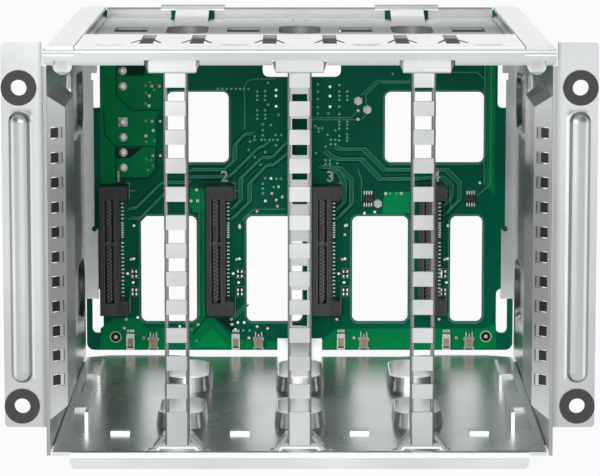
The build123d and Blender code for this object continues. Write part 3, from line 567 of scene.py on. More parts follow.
def moulded_skin_group():
    """Spark-eroded tool texture and faint flow shading of a moulding."""
    tree, entry, leave = new_group(
        "moulded_skin",
        [("Vector", "NodeSocketVector"), ("Scale", "NodeSocketFloat")],
        [("Height", "NodeSocketFloat"), ("Shade", "NodeSocketFloat")])
    pits = add_node(tree, "ShaderNodeTexVoronoi", feature="F1")
    flow = add_node(tree, "ShaderNodeTexNoise", {"Scale": 140.0, "Detail": 3.0})
    tree.links.new(entry.outputs["Vector"], pits.inputs["Vector"])
    tree.links.new(entry.outputs["Scale"], pits.inputs["Scale"])
    tree.links.new(entry.outputs["Vector"], flow.inputs["Vector"])
    tree.links.new(pits.outputs["Distance"], leave.inputs["Height"])
    tree.links.new(flow.outputs[0], leave.inputs["Shade"])
    return tree


def laminate_group():
    """Woven glass under the solder mask: a weave height and a soft colour drift."""
    tree, entry, leave = new_group(
        "laminate",
        [("Vector", "NodeSocketVector"), ("Pitch", "NodeSocketFloat")],
        [("Weave", "NodeSocketFloat"), ("Drift", "NodeSocketFloat")])
    across = add_node(tree, "ShaderNodeTexWave", {"Distortion": 0.6}, bands_direction="X")
    upright = add_node(tree, "ShaderNodeTexWave", {"Distortion": 0.6}, bands_direction="Z")
    woven = add_node(tree, "ShaderNodeMath", operation="MULTIPLY")
    drift = add_node(tree, "ShaderNodeTexNoise", {"Scale": 45.0, "Detail": 2.0})
    for wave in (across, upright):
        tree.links.new(entry.outputs["Vector"], wave.inputs["Vector"])
        tree.links.new(entry.outputs["Pitch"], wave.inputs["Scale"])
    tree.links.new(across.outputs["Fac"], woven.inputs[0])
    tree.links.new(upright.outputs["Fac"], woven.inputs[1])
    tree.links.new(entry.outputs["Vector"], drift.inputs["Vector"])
    tree.links.new(woven.outputs[0], leave.inputs["Weave"])
    tree.links.new(drift.outputs[0], leave.inputs["Drift"])
    return tree


def shared_group(name):
    makers = {
        "rolled_grain": rolled_grain_group,
        "shade_box": shade_box_group,
        "slot_rows": slot_rows_group,
        "bead_crown": bead_crown_group,
        "moulded_skin": moulded_skin_group,
        "laminate": laminate_group,
    }
    return bpy.data.node_groups.get(name) or makers[name]()


def new_material(name):
    """Material with a Principled BSDF, its output and the object's own coordinates."""
    material = bpy.data.materials.new(name)
    material.use_nodes = True
    tree = material.node_tree
    tree.nodes.clear()
    out = add_node(tree, "ShaderNodeOutputMaterial")
    shader = add_node(tree, "ShaderNodeBsdfPrincipled")
    place = add_node(tree, "ShaderNodeTexCoord")
    tree.links.new(shader.outputs[0], out.inputs["Surface"])
    return material, tree, shader, place


def place_group(tree, place, name, **values):
    group = add_node(tree, "ShaderNodeGroup", node_tree=shared_group(name))
    tree.links.new(place.outputs["Object"], group.inputs["Vector"])
    for key, value in values.items():
        group.inputs[key].default_value = value
    return group


def ranged(tree, source, target, low, high, from_low=0.3, from_high=0.7):
    """Feed a 0 to 1 pattern to a socket as a value between low and high."""
    span = add_node(tree, "ShaderNodeMapRange", {
        "From Min": from_low, "From Max": from_high, "To Min": low, "To Max": high})
    tree.links.new(source, span.inputs["Value"])
    tree.links.new(span.outputs[0], target)


def blended(tree, source, target, first, second, low=0.3, high=0.7):
    """Feed a colour that runs from first to second with a 0 to 1 pattern."""
    ramp = add_node(tree, "ShaderNodeValToRGB")
    ramp.color_ramp.elements[0].position = low
    ramp.color_ramp.elements[1].position = high
    ramp.color_ramp.elements[0].color = (*first, 1)
    ramp.color_ramp.elements[1].color = (*second, 1)
    tree.links.new(source, ramp.inputs["Fac"])
    tree.links.new(ramp.outputs["Color"], target)


def bumped(tree, source, shader, strength, distance, under=None):
    bump = add_node(tree, "ShaderNodeBump", {"Strength": strength, "Distance": distance})
    tree.links.new(source, bump.inputs["Height"])
    if under:
        tree.links.new(under, bump.inputs["Normal"])
    tree.links.new(bump.outputs[0], shader.inputs["Normal"])
    return bump.outputs[0]


def scaled(colour, factor):
    return tuple(min(1.0, part * factor) for part in colour)


def scaled_mm(sizes):
    return tuple(size * MM for size in sizes)


def add_shade(tree, place, tint, metal, shade, rows=False):
    """Paint shade into tint and mirror inside a soft box by a share, or a highlight into the tint
    where the share is over 1; gives the sockets that now feed them.
    """
    middle, reach, soft, share = shade
    box = place_group(tree, place, "shade_box", Middle=scaled_mm(middle),
                      Reach=scaled_mm(reach), Soft=scaled_mm(soft))
    if rows:
        folded = place_group(tree, place, "slot_rows")
        tree.links.new(folded.outputs["Folded"], box.inputs["Vector"])

    def dulled(target):
        share_paint = add_node(tree, "ShaderNodeMix", data_type="RGBA", blend_type="MULTIPLY")
        share_paint.inputs[6].default_value = (1, 1, 1, 1)
        share_paint.inputs[7].default_value = (share, share, share, 1)
        tree.links.new(box.outputs["Inside"], share_paint.inputs["Factor"])
        tree.links.new(share_paint.outputs[2], target)
        return share_paint.inputs[6]

    return dulled(tint), metal if share > 1 else dulled(metal)


def sheet_steel(name, settings, bright=1.0, shades=(), panel=False, drift=0.06):
    """Zinc-plated sheet with a painted brightness and painted shade and highlights in soft boxes; a
    panel also has bead crowns and the painted shade of its guide slots.
    """
    material, tree, shader, place = new_material(name)
    grain = place_group(tree, place, "rolled_grain", Scale=900.0, Drawn=(1.0, 0.12, 1.0))
    shader.inputs["Metallic"].default_value = 1.0
    shader.inputs["Specular IOR Level"].default_value = 0.0
    tint, metal = shader.inputs["Base Color"], shader.inputs["Metallic"]
    for shade in shades:
        tint, metal = add_shade(tree, place, tint, metal, shade)
    if panel:
        tint, metal = add_shade(tree, place, tint, metal, GUIDE_SLOT_SHADE, rows=True)
    # bright is the painted brightness of this copy of the steel
    blended(tree, grain.outputs["Marks"], tint, scaled(settings.tint, (1 - drift) * bright),
            scaled(settings.tint, (1 + drift) * bright))
    ranged(tree, grain.outputs["Marks"], shader.inputs["Roughness"],
           settings.roughness - 0.04, settings.roughness + 0.05)
    crown = None
    if panel:
        height = place_group(tree, place, "bead_crown").outputs["Height"]
        crown = bumped(tree, height, shader, 1.0, settings.crown * MM)
    bumped(tree, grain.outputs["Grain"], shader, settings.grain, 0.00005, crown)
    return material


def moulding(name, colour, roughness, bump=0.15):
    """Moulded plastic, rubber, resin or ceramic."""
    material, tree, shader, place = new_material(name)
    skin = place_group(tree, place, "moulded_skin", Scale=2200.0)
    blended(tree, skin.outputs["Shade"], shader.inputs["Base Color"],
            scaled(colour, 0.88), scaled(colour, 1.12))
    ranged(tree, skin.outputs["Shade"], shader.inputs["Roughness"],
           roughness - 0.06, roughness + 0.06)
    bumped(tree, skin.outputs["Height"], shader, bump, 0.00004)
    return material


def board_finish(name, colour, roughness=0.3, drift=0.1):
    """Solder mask or print over woven laminate."""
    material, tree, shader, place = new_material(name)
    shader.inputs["Specular IOR Level"].default_value = 0.06
    weave = place_group(tree, place, "laminate", Pitch=900.0)
    blended(tree, weave.outputs["Drift"], shader.inputs["Base Color"],
            scaled(colour, 1 - drift), scaled(colour, 1 + drift))
    ranged(tree, weave.outputs["Drift"], shader.inputs["Roughness"],
           roughness - 0.04, roughness + 0.04)
    bumped(tree, weave.outputs["Weave"], shader, 0.12, 0.00003)
    return material


def plated(name, colour, roughness, marks=0.12):
    """Small plated or soldered metal."""
    material, tree, shader, place = new_material(name)
    grain = place_group(tree, place, "rolled_grain", Scale=2600.0, Drawn=(1.0, 1.0, 1.0))
    shader.inputs["Metallic"].default_value = 1.0
    blended(tree, grain.outputs["Grain"], shader.inputs["Base Color"],
            scaled(colour, 1 - marks), scaled(colour, 1 + marks))
    ranged(tree, grain.outputs["Grain"], shader.inputs["Roughness"],
           roughness - 0.05, roughness + 0.08)
    bumped(tree, grain.outputs["Grain"], shader, 0.2, 0.00003)
    return material


def finish_makers():
    """What makes each finish: a function, and its values after the name."""
    look = bpy.context.scene
    steel = look.bracket_steel
    board = look.bracket_board
    mouldings = look.bracket_mouldings
    return {
        # steel sheet: settings, painted brightness, painted shade and highlight boxes, whether a
        # panel, drift
        "zinc_plated_steel": (sheet_steel, steel),
        "zinc_plated_floor": (sheet_steel, steel, 1.32, FLOOR_SHADES),
        "zinc_plated_post": (sheet_steel, steel, 1.06, POST_SHADES, False, 0.16),
        "zinc_plated_panel": (sheet_steel, steel, 1.0, PANEL_SHADES, True),
        "zinc_plated_cover": (sheet_steel, steel, 1.5, COVER_SHADES),
        # mouldings: colour, roughness, bump
        "grommet_rubber": (moulding, mouldings.grommet, 0.62),
        "connector_plastic": (moulding, mouldings.connector, 0.42),
        "header_plastic": (moulding, mouldings.header, 0.5),
        "chip_epoxy": (moulding, (0.035, 0.032, 0.036), 0.5),
        "resistor_ceramic": (moulding, (0.06, 0.055, 0.06), 0.45),
        "lamp_resin": (moulding, mouldings.resin, 0.3, 0.05),
        "lamp_glow": (moulding, (0.62, 0.4, 0.2), 0.3, 0.05),
        "recess_black": (moulding, (0.006, 0.006, 0.007), 0.5),
        "comb_plastic": (moulding, (0.15, 0.155, 0.16), 0.4),
        "lamp_base": (moulding, (0.62, 0.6, 0.52), 0.5),
        # board: colour, roughness, drift
        "solder_mask": (board_finish, board.mask, 0.32, 0.18),
        "mask_over_gaps": (board_finish, board.bare, 0.32, 0.18),
        "mask_over_copper": (board_finish, board.pour),
        "bright_mask": (board_finish, scaled(board.pour, 1.4)),
        "mask_over_bundles": (board_finish, board.bundle),
        "mask_over_tracks": (board_finish, board.trace),
        "tented_via": (board_finish, (0.34, 0.76, 0.6)),
        "board_print": (board_finish, board.ink, 0.6, 0.08),
        # metals: colour, roughness, marks
        "tinned": (plated, (0.72, 0.73, 0.7), 0.3),
        "soldered": (plated, (0.44, 0.45, 0.43), 0.36, 0.25),
        "nickel": (plated, (0.66, 0.66, 0.63), 0.28),
        "gold_contact": (plated, (0.3, 0.25, 0.17), 0.35),
        "bare_copper": (plated, (0.62, 0.45, 0.4), 0.35),
    }


def finish_named(name):
    """A finish by name, made on first use."""
    made = bpy.data.materials.get(name)
    if made:
        return made
    maker, *values = finish_makers()[name]
    return maker(name, *values)


# Where things stand on the board's front, as (x, z) in millimetres

def bay_places(offsets, share=1.0):
    """The same places in each bay; the last bay has less room beside its connector."""
    return [(centre + share * room + x, z) for centre, room in zip(BAY_CENTRES, SIDE_ROOM)
            for x, z in offsets]


def contact_heights():
    """Heights of one connector's contacts: power, fine and signal groups."""
    heights = []
    z = CONNECTOR_LOW + CONNECTOR_SLOT_END + CONTACT_PITCH
    for count, pitch in ((15, CONTACT_PITCH), (7, CONTACT_FINE_PITCH), (7, CONTACT_PITCH)):
        for _ in range(count):
            heights.append(z)
            z += pitch
        z += CONTACT_PITCH / 2
    return heights


VIA_COLUMNS = (
    (-14.0, (92.6, 91.2, 89.8, 86.4, 84.9, 83.6)),
    (-11.4, (92.7, 91.2, 89.7, 86.4, 84.9, 83.7)),
    (-12.2, (81.7, 79.8, 78.1, 61.9, 60.3, 58.7)),
    (6.0, (95.0, 92.6, 90.1, 87.4, 85.3)),
    (13.1, (94.8, 92.6, 91.2, 89.8, 87.6, 85.1, 82.6, 81.5, 80.3, 77.9, 76.4)),
    (15.7, (92.6, 91.1, 89.8, 82.6, 81.5, 80.3, 78.4, 77.3, 76.2)),
    (-50.8, (94.6, 92.1, 88.6, 82.9, 75.9, 70.1)),
)
VIA_ROWS = (
    (93.5, (-27.0, -25.5, -24.1, -22.6, -21.1, -19.7, -18.4, -16.9)),
    (76.6, (-14.9, -12.6, -11.5, -10.0, -8.8, -7.3, 10.3, 11.8)),
    (78.2, (-8.0, -6.1, 9.2)),
    (75.1, (10.3, 11.8)), (69.8, (8.6, 10.0)), (68.5, (8.6, 10.0)), (80.4, (6.2, 7.4)),
)
SINGLE_VIAS = [
    (-10.4, 95.5), (-10.4, 88.2), (-7.0, 84.9), (-9.5, 81.5), (-14.9, 77.7), (-16.4, 76.0),
    (-7.8, 74.7), (-16.9, 73.2), (-11.4, 72.5), (-14.9, 70.8), (-12.9, 68.3), (-11.4, 63.8),
    (-7.7, 63.6), (-6.2, 63.6), (-8.6, 60.8), (9.5, 85.3), (11.8, 79.7), (5.1, 81.2),
    (6.3, 79.3), (8.6, 74.3), (5.4, 72.1), (12.5, 68.7), (30.7, 98.4), (-49.4, 95.6),
    (-48.0, 93.1), (-50.2, 66.5), (-49.2, 69.8), (-48.6, 68.0), (-48.0, 76.3),
    (30.0, 58.7), (32.1, 58.7), (-16.7, 12.6), (-18.9, 12.6), (-34.4, 9.1), (-36.1, 12.9),
]
BRIGHT_VIAS = [
    (-7.8, 93.1), (-7.8, 91.2), (-7.8, 87.7), (10.0, 94.2), (10.0, 91.1), (10.0, 87.6),
    (-49.6, 91.2), (-49.8, 87.9), (-48.4, 79.7), (-50.9, 77.9), (-9.5, 63.7), (-11.4, 56.2),
    (-19.9, 47.3), (19.3, 83.4), (28.5, 58.7), (33.7, 58.7), (24.9, 52.5), (21.5, 52.1),
    (15.6, 48.1), (-54.0, 17.0), (-40.0, 14.0), (-20.6, 15.3), (-18.5, 15.3), (-22.6, 14.7),
    (-21.4, 12.9), (59.7, 62.2), (-34.2, 59.9), (-36.1, 56.2), (-33.9, 56.2), (-33.9, 14.6),
]
COPPER_VIAS = [
    (-48.8, 94.4), (-46.3, 94.4), (-48.8, 82.7), (-46.1, 82.7), (-48.6, 71.3), (-46.1, 71.3),
    (19.3, 86.3), (-7.0, 60.9), (-9.2, 58.7), (-5.8, 57.5), (-7.8, 56.5), (-7.4, 54.4),
    (-14.2, 52.7), (15.0, 44.9), (-58.5, 13.4), (-52.1, 10.0), (-14.2, 13.9), (-10.7, 13.3),
]
BAY_VIAS = [(-2.4, 47.9), (-2.5, 36.8), (-4.6, 31.8), (-2.8, 28.8)]
BAY_COPPER_VIAS = [(-3.4, 36.6), (0.6, 10.1), (-5.2, 16.4)]
SIGHTS = [(-61.4, 10.4), (62.1, 10.6)]
HEX_PADS = [(19.3, 89.5), (22.3, 86.6), (25.9, 55.3)]
RESISTOR_OFFSET = -2.35
RESISTOR_HEIGHTS = (25.0, 26.4, 31.0, 32.6)
CHIPS = [(22.6, 57.0), (56.7, 57.0)]


# Operators, one for each piece or group of like pieces

class BRACKET_OT_sheet_metal(bpy.types.Operator):
    """Give the folded sheet-metal pieces their zinc-plated finish"""

    bl_idname = "bracket.sheet_metal"
    bl_label = "Sheet metal"

    def execute(self, context):
        for name, finish_name in STEEL_FINISHES.items():
            paint_node(name, finish_named(finish_name))
        return {"FINISHED"}


class BRACKET_OT_mouldings(bpy.types.Operator):
    """Give grommets, connectors, headers and the data socket their finishes"""

    bl_idname = "bracket.mouldings"
    bl_label = "Mouldings"

    def execute(self, context):
        for name in GROMMET_NODES:
            paint_node(name, finish_named("grommet_rubber"))
        for number in range(1, 5):
            paint_node(f"drive_connector_{number}", finish_named("connector_plastic"))
            paint_node(f"connector_contacts_{number}", finish_named("gold_contact"))
        for name in ("power_header_lower", "power_header_upper"):
            paint_node(name, finish_named("header_plastic"))
        paint_node("power_pins", finish_named("tinned"))
        paint_node("data_socket_shell", finish_named("nickel"))
        paint_node("data_socket_insert", finish_named("connector_plastic"))
        paint_node("backplane_board", finish_named("solder_mask"))
        return {"FINISHED"}


class BRACKET_OT_copper(bpy.types.Operator):
    """Lay the copper areas and tracks on the board's front"""

    bl_idname = "bracket.copper"
    bl_label = "Copper areas and tracks"

    # Widths and heights over the board, and half the space between the tracks of a bundle
    clearance = (0.5, 0.06)
    bundle = (2.2, 0.05)
    bundle_space = 0.6
    track_height = 0.08
    rim_corner = 2.5

    pours = (
        ((-66.0, 101.6), (-45.6, 101.6), (-45.6, 86.4), (-47.6, 84.0), (-47.6, 66.9),
         (-50.4, 64.0), (-60.8, 64.0), (-60.8, 60.0), (-66.0, 60.0)),
        ((-66.5, 13.2), (-62.0, 16.8), (-53.0, 16.8), (-51.6, 13.6), (-36.0, 13.6), (-33.9, 16.0),
         (-33.9, 59.0), (-31.4, 59.0), (-31.4, 17.0), (-29.0, 17.0), (-22.0, 9.6), (-12.0, 9.2),
         (-12.0, 6.4), (-66.5, 6.4)),
        ((-11.0, 6.4), (-11.0, 9.0), (7.0, 9.0), (12.0, 13.2), (36.0, 13.2), (40.0, 13.2),
         (61.0, 13.2), (65.5, 15.0), (65.5, 6.4)),
        ((61.8, 101.6), (64.6, 101.6), (64.6, 58.0), (61.8, 61.0)),
    )
    bright = (
        ((28.1, 59.2), (36.6, 59.2), (36.6, 52.0), (27.5, 52.0), (27.5, 54.3)),
        ((-36.4, 60.3), (-31.4, 60.3), (-31.4, 52.4), (-35.2, 52.4), (-36.4, 54.6)),
        ((-35.2, 7.0), (-29.4, 13.6), (-23.4, 7.0)),
    )
    clearances = (
        ((-60.5, 101.4), (-60.5, 91.2), (-55.4, 86.4), (-45.6, 86.4)),
        ((-64.8, 88.0), (-64.6, 78.4), (-61.2, 74.5), (-47.6, 74.3)),
        ((-61.0, 74.3), (-61.0, 63.8), (-50.4, 63.8), (-47.6, 66.8), (-47.6, 74.3)),
        ((-49.0, 101.4), (-49.0, 98.0), (-59.7, 98.0)),
        ((-31.2, 59.4), (-31.2, 17.2), (-35.6, 11.2)),
    )
    dark = (
        ((-59.8, 101.5), (-51.0, 101.5), (-51.0, 98.2), (-59.8, 98.2)),
        ((-60.8, 74.0), (-52.1, 74.0), (-56.0, 70.6), (-60.8, 70.2)),
        ((-28.0, 16.8), (-21.9, 16.8), (-21.9, 11.2)),
    )
    tracks = (
        ((20.4, 91.5), (25.4, 96.1), (36.6, 96.1)),
        ((21.9, 88.6), (21.9, 91.7), (25.9, 95.5), (36.6, 95.5)),
        ((4.0, 84.0), (17.1, 84.0), (19.0, 85.9)),
        ((4.0, 83.3), (20.4, 83.3), (21.8, 84.8)),
        ((-18.2, 79.8), (-18.2, 94.8), (-17.1, 96.2), (-14.7, 96.8), (-8.0, 96.8)),
        ((19.3, 66.8), (20.5, 63.2), (20.5, 56.0)),
        ((-31.9, 59.0), (-31.9, 17.6)), ((-33.4, 59.0), (-33.4, 17.6)),
        ((-22.6, 17.0), (-17.6, 22.0)), ((-21.9, 16.6), (-17.0, 21.4)),
        ((-19.1, 49.8), (-15.2, 53.4), (-4.6, 53.4)),
        ((63.2, 101.4), (63.2, 61.8), (58.6, 57.7)),
        ((61.2, 101.4), (61.2, 61.6)),
        ((50.0, 60.0), (50.0, 53.0)), ((41.0, 99.0), (58.6, 99.0), (61.2, 96.6)),
    )
    bundles = (
        ((-24.5, 67.1), (-21.5, 69.8), (-21.5, 74.8), (-18.0, 78.7), (-15.6, 78.7)),
        ((-36.3, 66.6), (-24.8, 66.6)),
        ((-36.3, 64.2), (-23.4, 64.2), (-13.3, 74.3), (-11.9, 74.3), (-10.3, 76.0)),
        ((-22.3, 53.7), (-19.6, 56.5), (-19.6, 63.7), (-12.5, 70.7), (-9.2, 70.7), (-4.0, 76.0)),
        ((-22.9, 49.8), (-16.6, 55.9), (-16.6, 62.1), (-10.8, 68.2), (-8.6, 68.2), (-4.0, 72.1)),
        ((11.9, 74.3), (13.3, 73.5), (21.2, 73.5), (28.1, 66.6), (36.8, 66.6), (48.6, 66.6),
         (53.0, 62.2), (53.0, 56.5), (48.5, 51.8)),
        ((8.4, 72.9), (10.3, 71.2), (12.7, 70.1), (20.4, 70.1), (26.7, 63.5), (36.8, 63.5),
         (47.3, 64.1), (50.3, 61.2), (50.3, 57.2), (47.6, 54.4)),
        ((6.7, 67.6), (13.3, 67.1), (17.2, 63.2), (17.2, 55.1), (12.5, 50.3)),
        ((10.4, 66.6), (12.9, 65.7), (14.8, 62.1), (14.8, 55.9), (12.7, 53.7)),
        ((-56.4, 53.8), (-54.4, 53.8), (-45.6, 62.4), (-36.4, 62.4)),
        ((-56.4, 50.4), (-53.0, 50.4), (-43.6, 60.0), (-38.0, 60.0)),
    )

    def window_rims(self):
        """Lines just outside the air windows."""
        windows = [(*sides, *HIGH_WINDOW_HEIGHTS) for sides in HIGH_WINDOWS]
        for centre in BAY_CENTRES:
            left, width = LAST_LOW_WINDOW if centre == BAY_CENTRES[-1] else LOW_WINDOW
            windows.append((centre + left, centre + left + width, *LOW_WINDOW_HEIGHTS))
        return [rounded_run(x0 - WINDOW_RIM, x1 + WINDOW_RIM, z0 - WINDOW_RIM, z1 + WINDOW_RIM,
                            self.rim_corner) for x0, x1, z0, z1 in windows]

    def execute(self, context):
        board = context.scene.bracket_board
        flat = (
            ("copper_areas", self.pours, 0.03, "mask_over_copper"),
            ("bright_areas", self.bright, 0.05, "bright_mask"),
            ("dark_areas", self.dark, 0.05, "mask_over_gaps"),
        )
        for name, outlines, height, colour in flat:
            finish(fill_areas(name, outlines, height), finish_named(colour))
        finish(draw_tracks("copper_clearances", self.clearances, *self.clearance),
               finish_named("mask_over_gaps"))
        finish(draw_tracks("copper_bundles", self.bundles, *self.bundle),
               finish_named("mask_over_bundles"))
        runs = list(self.tracks) + self.window_rims()
        for run in self.bundles:
            for shift in (-self.bundle_space, self.bundle_space):
                runs.append(tuple((x + shift, z + shift * self.bundle_space) for x, z in run))
        finish(draw_tracks("copper_tracks", runs, board.track, self.track_height),
               finish_named("mask_over_tracks"))
        return {"FINISHED"}


class BRACKET_OT_vias(bpy.types.Operator):
    """Set the plated vias and the solder joints of the power pins"""

    bl_idname = "bracket.vias"
    bl_label = "Vias and solder joints"

    # Shares of a via's radius and height
    ring_width = 0.45
    bore_depth = 0.7
    square_pad_half = 1.5

    def ring(self, radius, height):
        """Plated ring with its drilled middle."""
        via = start_disc("via", radius, height, 10)
        pick_faces(via, facing_front)
        bpy.ops.mesh.inset(thickness=radius * self.ring_width * MM, depth=0)
        bpy.ops.mesh.extrude_region_move(
            TRANSFORM_OT_translate={"value": (0, height * self.bore_depth * MM, 0)})
        bpy.ops.object.mode_set(mode="OBJECT")
        return via

    def rings(self, context):
        """Small vias under the mask, and bare ones in tin and in copper."""
        radius = context.scene.bracket_board.via / 2
        places = [(x, z) for x, column in VIA_COLUMNS for z in column]
        places += [(x, z) for z, row in VIA_ROWS for x in row] + SINGLE_VIAS
        finish(repeat(self.ring(radius * 1.05, 0.08), "small_vias", places),
               finish_named("tented_via"))
        places = BRIGHT_VIAS + bay_places(BAY_VIAS, 0.4)
        finish(repeat(self.ring(radius * 1.15, 0.1), "bright_vias", places),
               finish_named("tinned"))
        places = COPPER_VIAS + bay_places(BAY_COPPER_VIAS, 0.4)
        finish(repeat(self.ring(radius * 1.15, 0.1), "copper_vias", places),
               finish_named("bare_copper"))

    def solder_joints(self):
        """Domed joint at each power pin, and the square pad of the first one."""
        joint = start_disc("joint", 1.42, 0.6, 24)
        pick_faces(joint, facing_front)
        bpy.ops.mesh.inset(thickness=0.5 * MM, depth=0)
        bpy.ops.transform.translate(value=(0, -0.15 * MM, 0))
        bpy.ops.object.mode_set(mode="OBJECT")
        soften(joint)
        places = [(PIN_COLUMN, low + step * PIN_PITCH) for low in PIN_LOWS for step in range(4)]
        finish(repeat(joint, "power_solder_joints", places), finish_named("soldered"))
        half = self.square_pad_half
        pad = start_block("square_pad", PIN_COLUMN - half, PIN_COLUMN + half, 0, 0.12,
                          SQUARE_PIN - half, SQUARE_PIN + half)
        finish(pad, finish_named("soldered"))

    def test_pads(self):
        """Six-sided test pads with a raised middle."""
        pad = start_disc("pad", 1.5, 0.12, 6)
        pick_faces(pad, facing_front)
        bpy.ops.mesh.inset(thickness=0.35 * MM, depth=-0.04 * MM)
        bpy.ops.object.mode_set(mode="OBJECT")
        finish(repeat(pad, "test_pads", HEX_PADS), finish_named("soldered"))

    def sights(self):
        """Round sights: a pale ring, a dark ground and a bare copper dot."""
        ring = start_disc("ring", 1.95, 0.05, 24)
        pick_faces(ring, facing_front)
        bpy.ops.mesh.inset(thickness=0.32 * MM, depth=0)
        bpy.ops.mesh.delete(type="FACE")
        bpy.ops.object.mode_set(mode="OBJECT")
        finish(repeat(ring, "sight_rings", SIGHTS), finish_named("board_print"))
        ground = start_disc("ground", 1.6, 0.06, 24)
        finish(repeat(ground, "sight_grounds", SIGHTS), finish_named("mask_over_gaps"))
        dot = start_disc("dot", 0.6, 0.1, 12)
        finish(repeat(dot, "sight_dots", SIGHTS), finish_named("bare_copper"))

    def execute(self, context):
        self.rings(context)
        self.solder_joints()
        self.sights()
        self.test_pads()
        return {"FINISHED"}


class BRACKET_OT_print(bpy.types.Operator):
    """Print plain bay numbers and outlines on the board"""

    bl_idname = "bracket.print"
    bl_label = "Board print"

    # Bay numbers: middle from the bay centre, height of their foot, size, added stroke
    number_offset = -7.4
    number_foot = 62.7
    number_size = 5.0
    number_stroke = 0.12
    # Outline round a connector and round two resistors
    outline_gap = 0.3
    line_width = 0.22
    box_half = 1.25
    box_height = 3.3
    box_lows = (24.2, 30.2)

    def number(self, text, x, z):
        deselect()
        bpy.ops.object.text_add(location=(x * MM, BOARD_FRONT - 0.05 * MM, z * MM),
                                rotation=(QUARTER_TURN, 0, 0))
        label = bpy.context.object
        label.data.body = text
        label.data.size = self.number_size * MM
        label.data.align_x = "CENTER"
        label.data.offset = self.number_stroke * MM
        label.data.extrude = 0.02 * MM
        bpy.ops.object.convert(target="MESH")
        return settle(bpy.context.object, "bay_number")

    def execute(self, context):
        ink = finish_named("board_print")
        labels = []
        for number, centre in enumerate(BAY_CENTRES, 1):
            labels.append(self.number(str(number), centre + self.number_offset, self.number_foot))
        finish(join(labels, "bay_numbers"), ink)
        top = CONNECTOR_HIGH + self.outline_gap
        foot = CONNECTOR_LOW - self.outline_gap
        lines = []
        for centre in BAY_CENTRES:
            edge = centre + CONNECTOR_LEFT + CONNECTOR_BODY
            lines.append(((edge - 1.0, top), (edge, top), (edge, top - 5.2)))
            lines.append(((edge, top - 2.6), (edge + 2.0, top - 2.6)))
            lines.append(((edge, foot + 5.2), (edge, foot), (edge - 1.0, foot)))
            # The boxes of all bays each time, so four lines lie on each other and look dull
            for x, low in bay_places([(RESISTOR_OFFSET, low) for low in self.box_lows]):
                x0, x1, high = x - self.box_half, x + self.box_half, low + self.box_height
                lines.append(((x0, low), (x1, low), (x1, high), (x0, high), (x0, low)))
        finish(draw_tracks("print_lines", lines, self.line_width, 0.04), ink)
        return {"FINISHED"}


class BRACKET_OT_connector_tails(bpy.types.Operator):
    """Set the comb on each drive connector's tongue and solder the tails beside it"""

    bl_idname = "bracket.connector_tails"
    bl_label = "Connector combs and tails"

    tongue = (-11.05, -9.75)
    tongue_tip = 7.4

    def execute(self, context):
        tail = start_block("tail", -0.55, 0.4, 0, 0.35, -0.25, 0.25, edge=0.08)
        places = [(centre + TAIL_OFFSET, z) for centre in BAY_CENTRES for z in contact_heights()]
        finish(repeat(tail, "connector_tails", places), finish_named("tinned"))
        left, right = self.tongue
        tip = self.tongue_tip
        heights = contact_heights()
        comb = start_block("comb", left, right, tip - 0.02, tip + 0.02, heights[0] - 0.8,
                           heights[-1] + 0.8)
        low, high = CONNECTOR_LOW + CONNECTOR_SLOT_END, CONNECTOR_HIGH - CONNECTOR_SLOT_END
        mouth = CONNECTOR_HEIGHT
        rims = [comb]
        for x in CONNECTOR_SLOT:
            rims.append(start_block("rim", x - 0.14, x + 0.14, mouth - 0.3, mouth + 0.03, low, high))
        places = [(centre, 0) for centre in BAY_CENTRES]
        finish(repeat(join(rims, "comb"), "connector_combs", places), finish_named("comb_plastic"))
        # Near-black marks at each contact height on the comb: painted shade in its recesses
        mark = start_block("mark", -0.62, 0.62, tip, tip + 0.06, -0.24, 0.24)
        for corner in mark.data.vertices:
            corner.co.z += corner.co.x * 0.5
        middle = (left + right) / 2
        places = [(centre + middle, z) for centre in BAY_CENTRES for z in heights]
        finish(repeat(mark, "comb_recess_shade", places), finish_named("recess_black"))
        return {"FINISHED"}


